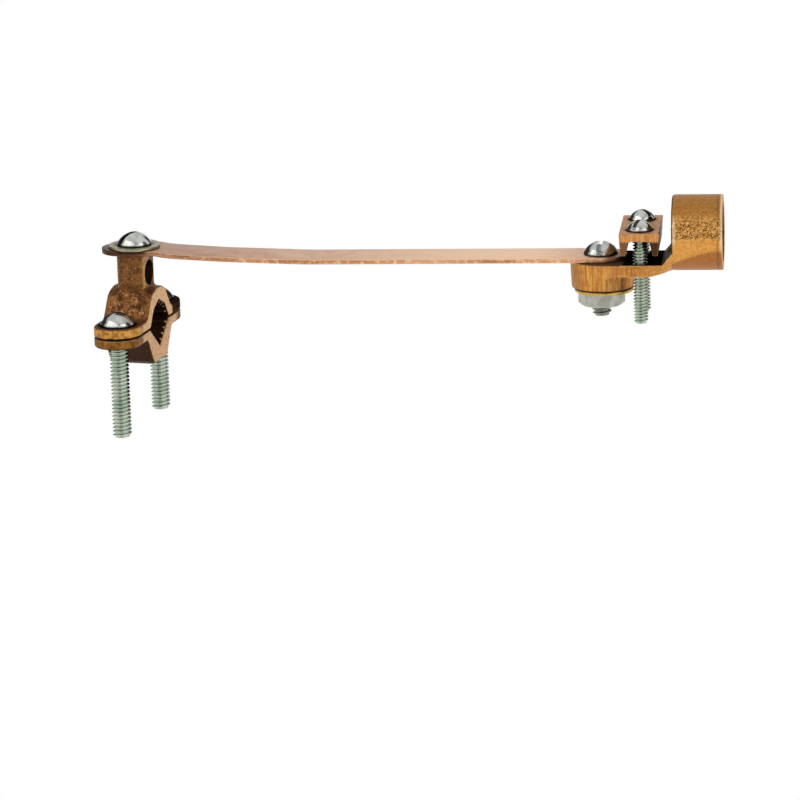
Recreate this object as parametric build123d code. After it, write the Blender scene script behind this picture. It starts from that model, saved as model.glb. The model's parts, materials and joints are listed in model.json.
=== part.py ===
from build123d import *
import os
from math import acos, cos, dist, pi, radians, sin, sqrt

# Earthing pipe clamp with a copper bonding strap and a conduit hub.
# Millimetres. +X runs along the pipe, +Y to the rear, +Z up.
# The origin is on the wire post's axis, in the plane where the upper jaw's ears end.

# Quarter inch machine screws: two clamp screws, the post screw and the hub bolt
QUARTER_THREAD = 6.35
QUARTER_HEAD = 11.4
QUARTER_HEAD_HIGH = 4.2
QUARTER_SLOT = 1.7
QUARTER_SLOT_DEEP = 2.3
CLAMP_SCREW_LONG = 38.1
POST_SCREW_LONG = 8.4
HUB_BOLT_LONG = 20.7

# Number ten machine screws in the saddle
TEN_THREAD = 4.826
TEN_HEAD = 8.4
TEN_HEAD_HIGH = 3.3
TEN_SLOT = 1.3
TEN_SLOT_DEEP = 1.8
SADDLE_SCREW_LONG = 31.2

# Fits of screws in their holes, on the radius, and the shape of a screw's ends
THREAD_FIT = 0.05
SCREW_CLEARANCE = 0.3
SCREW_TIP = 0.7
HEAD_BAND = 0.45

# Which way each slot points, in degrees from +X
POST_SLOT_TURN = 51.0
FRONT_SLOT_TURN = 20.0
REAR_SLOT_TURN = 120.0
HUB_SLOT_TURN = 96.0
SADDLE_FRONT_SLOT_TURN = 75.0
SADDLE_REAR_SLOT_TURN = 150.0

# Jaws: two castings with the same section, face to face
JAW_LONG = 15.8
UPPER_RISE = 12.2
LOWER_RISE = 13.6
JAW_GAP = 0.6
EAR_THICK = 3.2
SCREW_SPACING = 38.2
VEE_WIDE = 18.0
VEE_DEEP = 7.5
VEE_KNEE_OUT = 5.9
VEE_KNEE_HIGH = 4.6
FLANK_FOOT = 11.8
SHOULDER_OUT = 6.9
SHOULDER_DROP = 2.0
FOOT_ROUND = 2.4
SHOULDER_ROUND = 3.0
CAST_EDGE = 0.8
KEEL_BEVEL_LONG = 2.7
KEEL_BEVEL_HIGH = 1.7

# Gripping ridges on the sides of each vee, placed from its bottom outwards
RIDGE_HIGH = 0.8
RIDGE_WIDE = 1.5
RIDGE_ROOT = 0.3
RIDGE_PITCH = 2.4
RIDGE_COUNT = 4
RIDGE_END = 0.8
RIDGE_START = 2.6

# Wire post on the upper jaw
POST_HIGH = 23.7
POST_RADIUS = 6.6
POST_FLATS = 9.7
POST_ROOT = 1.5
POST_FOOT_ROUND = 1.1
WIRE_BORE = 4.1
WIRE_BORE_DROP = 6.8

# Strap, bent down a little beyond the post
STRAP_TURN = 11.0
STRAP_WIDE = 15.9
STRAP_THICK = 1.6
STRAP_SPAN = 154.9
STRAP_TAIL = 10.9
STRAP_NOSE = 8.6
STRAP_DROP = 3.05
STRAP_BENDS = ((7.4, 0.0), (11.2, 0.246), (30.0, 0.656), (58.0, 1.0))
STRAP_BEND_RADII = (11.0, 36.0, 90.0, 90.0)

# Washers and nut
POST_WASHER_RADIUS = 8.6
POST_WASHER_THICK = 0.9
POST_WASHER_HOLE = 3.6
HUB_WASHER_RADIUS = 9.7
HUB_WASHER_THICK = 1.2
HUB_WASHER_HOLE = 4.1
HUB_WASHER_SHIFT = 0.8
HUB_WASHER_PLAY = 0.2
NUT_FLATS = 13.4
NUT_THICK = 4.76
NUT_TOP_BEVEL = 0.4
NUT_FOOT_BEVEL = 0.9
NUT_FOOT_INSET = 0.5

# Conduit hub: boss, plate and ring in one casting
BOSS_TOP_RADIUS = 10.7
BOSS_FOOT_RADIUS = 10.3
BOSS_DEEP = 9.4
BOSS_SHIFT = 0.5
BOSS_ROUND = 1.6
PLATE_WALL = 0.85
PLATE_FULL = 8.5
PLATE_THICK = 4.1
PLATE_EDGE = 0.5
PLATE_END_THICK = 3.0
THIN_START = 16.4
RAMP_START = 20.6
RAMP_RISE = 3.7
RING_START = 23.6
RING_LONG = 16.7
RING_RADIUS = 12.45
RING_BORE = 9.6
RING_AXIS_HIGH = 8.5
RING_FOOT_TURN = 20.5
RING_LIP = 2.6
RING_THROAT = 7.4
RING_EDGE = 0.9

# Saddle over the hub's plate, and its two screws
SADDLE_AT = 13.3
SADDLE_WIDE = 13.2
SADDLE_DEEP = 29.5
SADDLE_HIGH = 7.4
SADDLE_TOP = 11.2
SADDLE_ROOF = 2.7
SADDLE_DRAFT = 0.5
CHANNEL_TOP = 6.8
CHANNEL_FOOT = 8.8
CHANNEL_ROUND = 1.2
SADDLE_SCREW_SPACING = 16.3
SADDLE_EDGE = 0.35

# Worked out from the sizes above
EAR_ROUND = JAW_LONG / 2
EAR_REACH = SCREW_SPACING / 2 + EAR_ROUND
WIRE_AXIS = POST_HIGH - WIRE_BORE_DROP
HEAD_SEAT = POST_HIGH + STRAP_THICK + POST_WASHER_THICK
HUB_TOP = POST_HIGH - STRAP_DROP
PLATE_WIDE = SADDLE_SCREW_SPACING + TEN_THREAD + 2 * PLATE_WALL

# How close two measures count as the same when edges are picked
NEAR = 0.01


def screw(thread, length, head, head_high, slot, slot_deep, turn):
    """Slotted round head screw, its seat at z = 0 and its shank below."""
    shank = thread / 2
    rim = head / 2
    rise = head_high - HEAD_BAND
    dome = (rim**2 + rise**2) / (2 * rise)
    centre = head_high - dome
    half = (1 - rise / dome)
    mid_out = dome * sqrt((1 - half) / 2)
    mid_up = centre + dome * sqrt((1 + half) / 2)
    outline = [
        Line((0, -length), (shank - SCREW_TIP, -length)),
        Line((shank - SCREW_TIP, -length), (shank, SCREW_TIP - length)),
        Line((shank, SCREW_TIP - length), (shank, 0)),
        Line((shank, 0), (rim, 0)),
        Line((rim, 0), (rim, HEAD_BAND)),
        ThreePointArc((rim, HEAD_BAND), (mid_out, mid_up), (0, head_high)),
        Line((0, head_high), (0, -length)),
    ]
    body = revolve(Plane.XZ * make_face(outline), Axis.Z)
    cut = Box(2 * head, slot, 2 * slot_deep)
    return body - Pos(0, 0, head_high) * Rot(0, 0, turn) * cut


def washer(radius, thick, hole):
    """Flat washer standing on z = 0."""
    return extrude(Circle(radius) - Circle(hole), thick)


def jaw_section(rise, vee_side):
    """A jaw's section across the pipe, in Y and Z, with rounded foot and shoulder."""
    shoulder = rise - SHOULDER_DROP
    bottom, *side = vee_side
    half = [
        *side,
        (EAR_REACH, 0),
        (EAR_REACH, EAR_THICK),
        (FLANK_FOOT, EAR_THICK),
        (SHOULDER_OUT, shoulder),
    ]
    left = [(-y, z) for y, z in reversed(half)]
    lines = Polyline(bottom, *half)
    lines += ThreePointArc((SHOULDER_OUT, shoulder), (0, rise), (-SHOULDER_OUT, shoulder))
    lines += Polyline(*left, bottom)
    face = make_face(lines)
    feet = face.vertices().filter_by(lambda v: abs(abs(v.X) - FLANK_FOOT) < NEAR)
    face = fillet(feet, FOOT_ROUND)
    tops = face.vertices().filter_by(lambda v: abs(abs(v.X) - SHOULDER_OUT) < NEAR)
    return fillet(tops, SHOULDER_ROUND)


def along_side(vee_side, reach):
    """The point this far along a vee's side from its bottom, and the side's direction there."""
    for start, end in zip(vee_side, vee_side[1:]):
        run = dist(start, end)
        way = ((end[0] - start[0]) / run, (end[1] - start[1]) / run)
        if reach <= run:
            break
        reach -= run
    return (start[0] + way[0] * reach, start[1] + way[1] * reach), way


def ridges(vee_side):
    """Gripping ridges on both sides of the vee, in the upper jaw's place."""
    bars = []
    for index in range(RIDGE_COUNT):
        middle, way = along_side(vee_side, RIDGE_START + index * RIDGE_PITCH)
        inward = (way[1], -way[0])
        points = []
        for step, out in ((-RIDGE_WIDE / 2, -RIDGE_ROOT), (0, RIDGE_HIGH), (RIDGE_WIDE / 2, -RIDGE_ROOT)):
            points.append(tuple(middle[k] + way[k] * step + inward[k] * out for k in (0, 1)))
        bar = Plane.YZ * make_face(Polyline(*points, close=True))
        bar = extrude(bar, JAW_LONG / 2 - RIDGE_END, both=True)
        bars += [bar, mirror(bar, Plane.XZ)]
    return bars


def jaw(rise, hole, vee_side, keel_bevel=False):
    """One jaw: the section along the pipe, cut to the ears' rounded plan."""
    block = extrude(Plane.YZ * jaw_section(rise, vee_side), JAW_LONG / 2, both=True)
    plan = Rot(0, 0, 90) * SlotOverall(2 * EAR_REACH, JAW_LONG)
    body = block & extrude(plan, rise)
    crown = body.edges().filter_by(
        lambda e: e.center().Z > EAR_THICK - NEAR
        and (abs(abs(e.center().X) - JAW_LONG / 2) < NEAR or abs(e.center().Y) > EAR_REACH - EAR_ROUND)
    )
    body = fillet(crown, CAST_EDGE)
    if keel_bevel:
        end = JAW_LONG / 2
        corner = Polyline(
            (end, rise), (end - KEEL_BEVEL_LONG, rise), (end, rise - KEEL_BEVEL_HIGH), close=True
        )
        wedge = extrude(Plane.XZ * make_face(corner), EAR_REACH, both=True)
        body = body - wedge - mirror(wedge, Plane.YZ)
    for side in (-1, 1):
        body -= Pos(0, side * SCREW_SPACING / 2, 0) * Cylinder(hole, 4 * EAR_THICK)
    for bar in ridges(vee_side):
        body += bar
    return body


def upper_jaw():
    """Upper jaw with its flat-sided wire post, cross-bored for the wire and tapped from the top."""
    vee_side = [(0, VEE_DEEP), (VEE_KNEE_OUT, VEE_KNEE_HIGH), (VEE_WIDE / 2, 0)]
    body = jaw(UPPER_RISE, QUARTER_THREAD / 2 + SCREW_CLEARANCE, vee_side)
    root = VEE_DEEP + POST_ROOT
    plan = Circle(POST_RADIUS) & Rectangle(POST_FLATS, 2 * POST_RADIUS)
    body += Pos(0, 0, root) * extrude(plan, POST_HIGH - root)
    foot = body.edges().filter_by(
        lambda e: abs(e.center().X) < POST_RADIUS
        and abs(e.center().Y) < POST_RADIUS
        and root < e.center().Z < UPPER_RISE + NEAR
        and e.geom_type != GeomType.LINE
    )
    body = fillet(foot, POST_FOOT_ROUND)
    body -= Pos(0, 0, WIRE_AXIS) * Rot(0, 90, 0) * Cylinder(WIRE_BORE, 2 * JAW_LONG)
    tapped = QUARTER_THREAD / 2 + THREAD_FIT
    body -= Pos(0, 0, WIRE_AXIS) * extrude(Circle(tapped), POST_HIGH)
    return body


def lower_jaw():
    """Lower jaw, made the upper way up and turned over, its ears tapped for the clamp screws."""
    vee_side = [(0, VEE_DEEP), (VEE_WIDE / 2, 0)]
    body = jaw(LOWER_RISE, QUARTER_THREAD / 2 + THREAD_FIT, vee_side, keel_bevel=True)
    return Pos(0, 0, -JAW_GAP) * mirror(body, Plane.XY)


def strap():
    """Side view along the strap, pulled out to its width and cut to its rounded plan."""
    flat = -STRAP_DROP
    points = [(-STRAP_TAIL, 0)]
    points += [(x, -share * STRAP_DROP) for x, share in STRAP_BENDS]
    points += [(STRAP_SPAN + STRAP_NOSE, flat)]
    under = FilletPolyline(*points, radius=STRAP_BEND_RADII)
    over = Pos(0, STRAP_THICK) * FilletPolyline(*points, radius=STRAP_BEND_RADII)
    tail = Line(under @ 0, over @ 0)
    nose = Line(under @ 1, over @ 1)
    side = Plane.XZ * make_face([*under.edges(), *over.edges(), tail, nose])
    bar = extrude(side, STRAP_WIDE / 2, both=True)
    middle = (STRAP_SPAN + STRAP_NOSE - STRAP_TAIL) / 2
    plan = SlotOverall(STRAP_SPAN + STRAP_NOSE + STRAP_TAIL, STRAP_WIDE)
    tall = 4 * STRAP_DROP
    bar &= Pos(middle, 0, -tall / 2) * extrude(plan, tall)
    hole = Cylinder(QUARTER_THREAD / 2 + SCREW_CLEARANCE, 2 * tall)
    bar = bar - hole - Pos(STRAP_SPAN, 0, 0) * hole
    return Pos(0, 0, POST_HIGH) * bar


def ring_foot():
    """Where the plate runs into the ring: the ring's outline below the ramp's top."""
    def on_ring(turn):
        return RING_RADIUS * sin(turn), RING_AXIS_HIGH - RING_RADIUS * cos(turn)

    side = acos((RING_AXIS_HIGH - RAMP_RISE) / RING_RADIUS)
    under = radians(RING_FOOT_TURN)
    stops = (side, under, -under, -side)
    arcs = [ThreePointArc(on_ring(a), on_ring((a + b) / 2), on_ring(b)) for a, b in zip(stops, stops[1:])]
    return make_face([*arcs, Line(on_ring(-side), on_ring(side))])


def plate_end(thick):
    """The plate's section where it is this thick."""
    half = PLATE_WIDE / 2
    return make_face(Polyline((half, 0), (half, -thick), (-half, -thick), (-half, 0), close=True))


def boss_flare(plan):
    """The boss's side runs into the plate's underside in a hollow curve, kept within the plate's plan."""
    drop = PLATE_THICK + BOSS_ROUND
    waist = BOSS_TOP_RADIUS - (BOSS_TOP_RADIUS - BOSS_FOOT_RADIUS) * drop / BOSS_DEEP
    centre = waist + BOSS_ROUND
    nearest = BOSS_ROUND / sqrt(2)
    outline = [
        Line((0, -drop), (0, -PLATE_THICK)),
        Line((0, -PLATE_THICK), (centre, -PLATE_THICK)),
        ThreePointArc((centre, -PLATE_THICK), (centre - nearest, nearest - drop), (waist, -drop)),
        Line((waist, -drop), (0, -drop)),
    ]
    return Pos(BOSS_SHIFT, 0, 0) * revolve(Plane.XZ * make_face(outline), Axis.Z) & extrude(plan, -drop)


def hub():
    """Boss, plate, ramp and ring, with the bolt's axis at x = 0 and the plate's top at z = 0."""
    boss = loft([Circle(BOSS_FOOT_RADIUS), Pos(0, 0, BOSS_DEEP) * Circle(BOSS_TOP_RADIUS)])
    boss = Pos(BOSS_SHIFT, 0, -BOSS_DEEP) * boss
    boss = fillet(boss.edges().sort_by(Axis.Z)[0], PLATE_EDGE)
    near = BOSS_FOOT_RADIUS
    far = PLATE_WIDE / 2
    plan = Polyline(
        (0, -near), (PLATE_FULL, -far), (THIN_START, -far), (THIN_START, far), (PLATE_FULL, far), (0, near),
        close=True,
    )
    plate = extrude(make_face(plan), -PLATE_THICK)
    sections = (
        (THIN_START, plate_end(PLATE_THICK)), (RAMP_START, plate_end(PLATE_END_THICK)), (RING_START, ring_foot()),
    )
    ramp = loft(
        [Plane(origin=(x, 0, 0), x_dir=(0, 1, 0), z_dir=(1, 0, 0)) * face for x, face in sections], ruled=True
    )
    ring = Pos(RING_START, 0, RING_AXIS_HIGH) * Rot(0, 90, 0) * extrude(Circle(RING_RADIUS), RING_LONG)
    ring = fillet(ring.edges().sort_by(Axis.X)[0], RING_EDGE)
    body = boss + plate + boss_flare(make_face(plan)) + ramp + ring
    axis = Pos(RING_START, 0, RING_AXIS_HIGH) * Rot(0, 90, 0)
    body -= axis * Pos(0, 0, RING_LIP) * extrude(Circle(RING_BORE), RING_LONG)
    body -= axis * Pos(0, 0, -RING_LIP) * extrude(Circle(RING_THROAT), RING_LONG)
    body -= Cylinder(QUARTER_THREAD / 2 + SCREW_CLEARANCE, 4 * BOSS_DEEP)
    for side in (-1, 1):
        hole = Cylinder(TEN_THREAD / 2 + THREAD_FIT, 4 * PLATE_THICK)
        body -= Pos(SADDLE_AT, side * SADDLE_SCREW_SPACING / 2, 0) * hole
    return body


def saddle():
    """Inverted channel with drafted legs, its screws front and rear."""
    top = SADDLE_TOP
    foot = SADDLE_TOP - SADDLE_HIGH
    roof = SADDLE_TOP - SADDLE_ROOF
    half = SADDLE_WIDE / 2
    points = [
        (-half, top), (half, top), (half - SADDLE_DRAFT, foot), (CHANNEL_FOOT / 2, foot),
        (CHANNEL_TOP / 2, roof), (-CHANNEL_TOP / 2, roof), (-CHANNEL_FOOT / 2, foot),
        (-half + SADDLE_DRAFT, foot),
    ]
    face = make_face(Polyline(*points, close=True))
    inner = face.vertices().filter_by(lambda v: abs(v.Y - roof) < NEAR)
    face = fillet(inner, CHANNEL_ROUND)
    body = extrude(Plane.XZ * face, SADDLE_DEEP / 2, both=True)
    body = fillet(body.faces().sort_by(Axis.Z)[-1].edges(), SADDLE_EDGE)
    for side in (-1, 1):
        hole = Cylinder(TEN_THREAD / 2 + SCREW_CLEARANCE, 6 * SADDLE_HIGH)
        body -= Pos(0, side * SADDLE_SCREW_SPACING / 2, 0) * hole
    return Pos(SADDLE_AT, 0, 0) * body


def nut():
    """Hexagon nut hanging from z = 0, its corners bevelled a little above and much below."""
    prism = extrude(RegularPolygon(NUT_FLATS / 2, 6, major_radius=False), -NUT_THICK)
    corner = NUT_FLATS / 2 / cos(pi / 6)
    outline = Polyline(
        (0, 0), (NUT_FLATS / 2, 0), (corner, -NUT_TOP_BEVEL), (corner, NUT_FOOT_BEVEL - NUT_THICK),
        (NUT_FLATS / 2 - NUT_FOOT_INSET, -NUT_THICK), (0, -NUT_THICK), close=True,
    )
    turned = revolve(Plane.XZ * make_face(outline), Axis.Z)
    return (prism & turned) - Cylinder(QUARTER_THREAD / 2 + THREAD_FIT, 4 * NUT_THICK)


QUARTER = (QUARTER_HEAD, QUARTER_HEAD_HIGH, QUARTER_SLOT, QUARTER_SLOT_DEEP)
TEN = (TEN_HEAD, TEN_HEAD_HIGH, TEN_SLOT, TEN_SLOT_DEEP)
SWUNG = Rot(0, 0, STRAP_TURN)
HUB_PLACE = SWUNG * Pos(STRAP_SPAN, 0, HUB_TOP)

nodes = {
    "upper_jaw": upper_jaw(),
    "lower_jaw": lower_jaw(),
    "strap": SWUNG * strap(),
    "hub": HUB_PLACE * hub(),
    "saddle": HUB_PLACE * saddle(),
}

clamp_screws = (("front", -1, FRONT_SLOT_TURN), ("rear", 1, REAR_SLOT_TURN))
for name, side, turn in clamp_screws:
    seat = Pos(0, side * SCREW_SPACING / 2, EAR_THICK)
    nodes["clamp_screw_" + name] = seat * screw(QUARTER_THREAD, CLAMP_SCREW_LONG, *QUARTER, turn)

nodes["post_washer"] = Pos(0, 0, POST_HIGH + STRAP_THICK) * washer(
    POST_WASHER_RADIUS, POST_WASHER_THICK, POST_WASHER_HOLE
)
nodes["post_screw"] = Pos(0, 0, HEAD_SEAT) * screw(
    QUARTER_THREAD, POST_SCREW_LONG, *QUARTER, POST_SLOT_TURN
)

nodes["hub_bolt"] = HUB_PLACE * Pos(0, 0, STRAP_THICK) * screw(
    QUARTER_THREAD, HUB_BOLT_LONG, *QUARTER, HUB_SLOT_TURN
)
washer_top = -BOSS_DEEP - HUB_WASHER_PLAY
nodes["hub_washer"] = HUB_PLACE * Pos(HUB_WASHER_SHIFT, 0, washer_top - HUB_WASHER_THICK) * washer(
    HUB_WASHER_RADIUS, HUB_WASHER_THICK, HUB_WASHER_HOLE
)
nodes["hub_nut"] = HUB_PLACE * Pos(0, 0, washer_top - HUB_WASHER_THICK) * nut()

saddle_screws = (("front", -1, SADDLE_FRONT_SLOT_TURN), ("rear", 1, SADDLE_REAR_SLOT_TURN))
for name, side, turn in saddle_screws:
    seat = HUB_PLACE * Pos(SADDLE_AT, side * SADDLE_SCREW_SPACING / 2, SADDLE_TOP)
    nodes["saddle_screw_" + name] = seat * screw(TEN_THREAD, SADDLE_SCREW_LONG, *TEN, turn)

os.makedirs("parts", exist_ok=True)
for name, solid in nodes.items():
    export_step(solid, "parts/" + name + ".step")
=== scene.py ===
"""Earthing pipe clamp: cast bronze jaws, hub and saddle, a copper strap and zinc plated slotted screws."""
import json
import math
from contextlib import contextmanager

import bmesh
import bpy
import numpy as np
from mathutils import Matrix, Vector, noise

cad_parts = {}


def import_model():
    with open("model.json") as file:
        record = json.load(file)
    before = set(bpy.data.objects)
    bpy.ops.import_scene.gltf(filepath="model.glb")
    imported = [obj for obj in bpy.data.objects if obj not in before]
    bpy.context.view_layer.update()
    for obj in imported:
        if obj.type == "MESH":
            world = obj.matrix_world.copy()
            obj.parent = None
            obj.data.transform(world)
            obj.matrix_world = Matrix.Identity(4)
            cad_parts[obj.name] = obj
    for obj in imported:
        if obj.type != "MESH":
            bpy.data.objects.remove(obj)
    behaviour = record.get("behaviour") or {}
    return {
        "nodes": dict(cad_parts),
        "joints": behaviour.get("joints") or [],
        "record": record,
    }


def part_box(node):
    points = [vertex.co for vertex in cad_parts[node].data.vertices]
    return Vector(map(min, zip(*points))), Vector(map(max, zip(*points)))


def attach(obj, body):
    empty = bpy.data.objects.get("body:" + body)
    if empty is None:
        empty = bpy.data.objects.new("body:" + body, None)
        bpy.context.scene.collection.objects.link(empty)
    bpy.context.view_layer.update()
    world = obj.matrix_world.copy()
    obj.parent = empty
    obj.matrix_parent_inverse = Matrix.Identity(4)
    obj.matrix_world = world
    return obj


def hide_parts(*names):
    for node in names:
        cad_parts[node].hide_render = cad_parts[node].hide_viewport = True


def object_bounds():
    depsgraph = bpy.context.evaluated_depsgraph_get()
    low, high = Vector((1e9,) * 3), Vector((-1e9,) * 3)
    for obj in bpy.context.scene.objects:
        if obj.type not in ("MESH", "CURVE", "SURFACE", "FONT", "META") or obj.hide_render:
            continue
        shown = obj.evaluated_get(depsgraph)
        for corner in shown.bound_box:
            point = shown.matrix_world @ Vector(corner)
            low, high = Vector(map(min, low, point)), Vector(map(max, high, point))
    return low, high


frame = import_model()
cad_low, cad_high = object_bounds()
scene = bpy.context.scene

# A millimetre in metres, and how close points count as one
MM = 0.001
MERGE = 1e-6

# What the CAD frame tells: axes, heights, bores and the way the strap points
joints = {joint["name"]: joint for joint in frame["joints"]}
mounts = {mount["name"]: mount for mount in frame["record"]["mounts"]}
HUB_AXIS = Vector(joints["hub_swivel"]["pos_m"])
POST_TOP = joints["strap_swivel"]["pos_m"][2]
EAR_THICK = joints["clamp_screw_front_turn"]["pos_m"][2]
LOWER_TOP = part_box("lower_jaw")[1].z
BOSS_DEEP = HUB_AXIS.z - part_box("hub")[0].z
WIRE_AXIS = mounts["wire_hole"]["pos_m"][2]
RING_AXIS = Vector(mounts["conduit_hole"]["pos_m"])
RING_BORE = mounts["conduit_hole"]["dims"]["r_mm"] * MM
RING_BORE_LONG = mounts["conduit_hole"]["dims"]["length_mm"] * MM
STRAP_SPAN = HUB_AXIS.to_2d().length
STRAP_TURN = math.atan2(HUB_AXIS.y, HUB_AXIS.x)
ALONG = np.array((math.cos(STRAP_TURN), math.sin(STRAP_TURN), 0.0))
ACROSS = np.array((-math.sin(STRAP_TURN), math.cos(STRAP_TURN), 0.0))

# Screw sizes: the shank's radius and pitch, and the slotted round head's rim radius, height and slot
QUARTER = {"radius": 3.175 * MM, "pitch": 1.27 * MM,
           "rim": 5.7 * MM, "high": 4.2 * MM, "slot": 1.7 * MM, "deep": 2.3 * MM}
TEN = {"radius": 2.413 * MM, "pitch": 1.0583 * MM,
       "rim": 4.2 * MM, "high": 3.3 * MM, "slot": 1.3 * MM, "deep": 1.8 * MM}

# The strap's round holes: their radius and the points round them
CLEAR_HOLE = QUARTER["radius"] + 0.3 * MM
HOLE_SIDES = 48

# Each screw: its node, its body, its size, the shank's length and the slot's direction in degrees
SCREWS = (
    ("clamp_screw_front", "clamp_screw_front", QUARTER, 38.1 * MM, 20),
    ("clamp_screw_rear", "clamp_screw_rear", QUARTER, 38.1 * MM, 120),
    ("post_screw", "post_screw", QUARTER, 8.4 * MM, 51),
    ("hub_bolt", "hub", QUARTER, 20.7 * MM, 96),
    ("saddle_screw_front", "saddle_screw_front", TEN, 31.2 * MM, 75),
    ("saddle_screw_rear", "saddle_screw_rear", TEN, 31.2 * MM, 150),
)

# Heads: the upright band at the rim, the foot's chamfer, the dome's steps and the slot's eased edge
HEAD_BAND = 0.45 * MM
HEAD_FOOT = (0.2 * MM, 0.15 * MM)
DOME_STEPS = 16
HEAD_SIDES = 64
SLOT_EASE = 0.12 * MM

# Heads' painted shade: the slot's floor, the foot in shares of the height as a painted dark reflection, and
# the rear head's hidden side as a painted dark reflection
SLOT_SHADE = 0.75
SLOT_MARGIN = (0.02 * MM, 0.1 * MM)
FOOT_SHADE = 0.92
FOOT_FADE = (0.07, 0.18)
HIDDEN_SHADE = 0.95
HIDDEN_FADE = (0.6 * MM, 2.0 * MM)

# Threads: depth in pitches, points round, the tip's radius as a share of the root's, and the tip's slope
THREAD_DEPTH = 0.62
THREAD_SIDES = 48
TIP_SHARE = 0.94
TIP_SLOPE = 1.1

# The threads carry painted dark reflections in a broad band and a narrow line up the shank, in degrees from
# THREAD_FRONT, which is itself in degrees from +X
THREAD_FRONT = -73
BROAD_BAND = (50, 75, 120, 150)
BROAD_SHADE = 0.5
LINE_AT = -4
LINE_FADE = (5, 18)
LINE_SHADE = 0.22

# Castings: waves a metre and level of their unevenness, and how the lighter edges, the painted shade in
# hollows and the painted shade on undersides fade in
BROAD_WAVES = 330
FINE_WAVES = 800
SETTLED = 0.9
EDGE_BEND = (0.035, 0.16)
HOLLOW_BEND = (0.03, 0.14)
UNDER_LEAN = (0.15, 0.5)

# Each casting's even skin: how fine it is, and how far its faces wander
JAW_SKIN = (0.26 * MM, 0.03 * MM)
HUB_SKIN = (0.26 * MM, 0.02 * MM)
SADDLE_SKIN = (0.22 * MM, 0.015 * MM)

# How squarely faces must look one way to be painted: the share where paint starts and where it is full
FACING = {
    "seat": (0.3, 0.7),
    "slope to the front": (0.3, 0.6),
    "slope upwards": (0.15, 0.35),
    "jaw's end": (0.75, 0.93),
    "ridge's end": (0.40, 0.70),
    "vee": (0.5, 0.8),
    "wire hole": (0.6, 0.85),
    "ear's rim": (0.6, 0.85),
    "boss's side": (0.5, 0.8),
    "plate's top": (0.35, 0.6),
    "plate's ramp": (0.15, 0.4),
    "saddle's end": (0.7, 0.9),
    "strap's side": (0.05, 0.6),
    "strap's edge": (0.2, 0.6, 0.85, 0.97),
}

# Shade round a seated head: where it starts outside the rim, and where it ends, farther out on the ears
SEAT_START = 0.2 * MM
SEAT_END = 1.3 * MM
EAR_SEAT_END = 3.0 * MM

# Jaws: the crown where the post starts, the pale ends, the ears' gilt rims and the painted shade on the
# rear ear
CROWN_HIGH = 12.2 * MM
END_FADE = (1.3 * MM, 1.0 * MM)
DULL_END = 0.15
RIM_MARGIN = 0.2 * MM
UPPER_GILT = 1.0
LOWER_GILT = 0.2
RIM_FADE = (15 * MM, 18 * MM)
REAR_EAR_FADE = (12 * MM, 13 * MM)
REAR_EAR_SIDE = 2 * MM
REAR_EAR_TOP = (0.8 * MM, 2 * MM)
REAR_EAR_SHADE = 0.96

# Inside the jaws: the vee's slope, reach and height, the wire hole's reach, and how dark the painted shade
# in both is
VEE_LEAN = 1.43
VEE_REACH = 15 * MM
VEE_HIGH = 8.6 * MM
WIRE_HOLE_REACH = 4.3 * MM
INSIDE_SHADE = 0.88

# The upper jaw's rough slope: where it starts, what stays smooth at its foot and ends, and its lumps
SLOPE_START = 5 * MM
SLOPE_FOOT = 0.8 * MM
SLOPE_MARGIN = 1.2 * MM
SLOPE_FADE = 0.8 * MM
SLOPE_HIGH = 0.18 * MM
SLOPE_WAVES = 1150

# The wire post: the seam up its front, the painted highlight on the edges of its flats, and the room it
# leaves the strap
SEAM_HIGH = 0.09 * MM
SEAM_WIDE = 0.3 * MM
FLAT_EDGE_AT = 4.7 * MM
FLAT_EDGE_WIDE = 0.4 * MM
FLAT_EDGE_HIGHLIGHT = 0.7
STRAP_ROOM = 0.03 * MM

# The tapped thread inside the ring, as half inch conduit has it
CONDUIT_PITCH = 1.814 * MM
CONDUIT_DEEP = 0.55 * MM
CONDUIT_SHADE = 0.8

# Where the ring's thread fades in at the throat, and out at the bore's wall
THROAT_FADE = 0.4 * MM
BORE_WALL = (0.2 * MM, 0.4 * MM)

# Hub, along the strap from the bolt's axis: where its ring starts, and how far off the bore the skin lies
RING_START = (23 * MM, 24 * MM)
RING_WALL = (1.6 * MM, 2.4 * MM)

# Wrinkled band round the ring, above the ring's axis: where it fades in and out, its height and waves
WRINKLE_BAND = (-0.4 * MM, 0.9 * MM, 5.0 * MM, 8.4 * MM)
WRINKLE_HIGH = 0.08 * MM
WRINKLE_WAVES = 1200
WRINKLE_SQUASH = np.array([1.0, 1.0, 1.3])

# Ring's painted light above its axis: a bright painted reflection below the wrinkles, painted shade above,
# and a brown belly under a curved line as a painted reflection
BRIGHT_END = (0, 1.2 * MM)
RING_SHADE_START = (4.5 * MM, 8.5 * MM)
BELLY_AT_MOUTH = -4.1 * MM
BELLY_DROP = 5.2 * MM
BELLY_LONG = 17 * MM
BELLY_CURVE = 1.8
BELLY_FADE = (0.5 * MM, 1.1 * MM)

# Ring's edges: the mouth, bright with wear and a painted highlight, a dark line of painted shade inside it
# and the painted highlight of the lip at the other end
MOUTH_WEAR_AND_HIGHLIGHT = (0.9 * MM, 0.5 * MM)
MOUTH_WEAR_AND_HIGHLIGHT_HIGH = (-7 * MM, 0)
LINE_INSIDE = 1.5 * MM
LINE_WIDE = 0.35 * MM
LINE_INSIDE_SHADE = 0.4
LIP_END = (24.5 * MM, 25.5 * MM)
LIP_BAND = (-3 * MM, 0, 5 * MM, 8 * MM)
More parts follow.
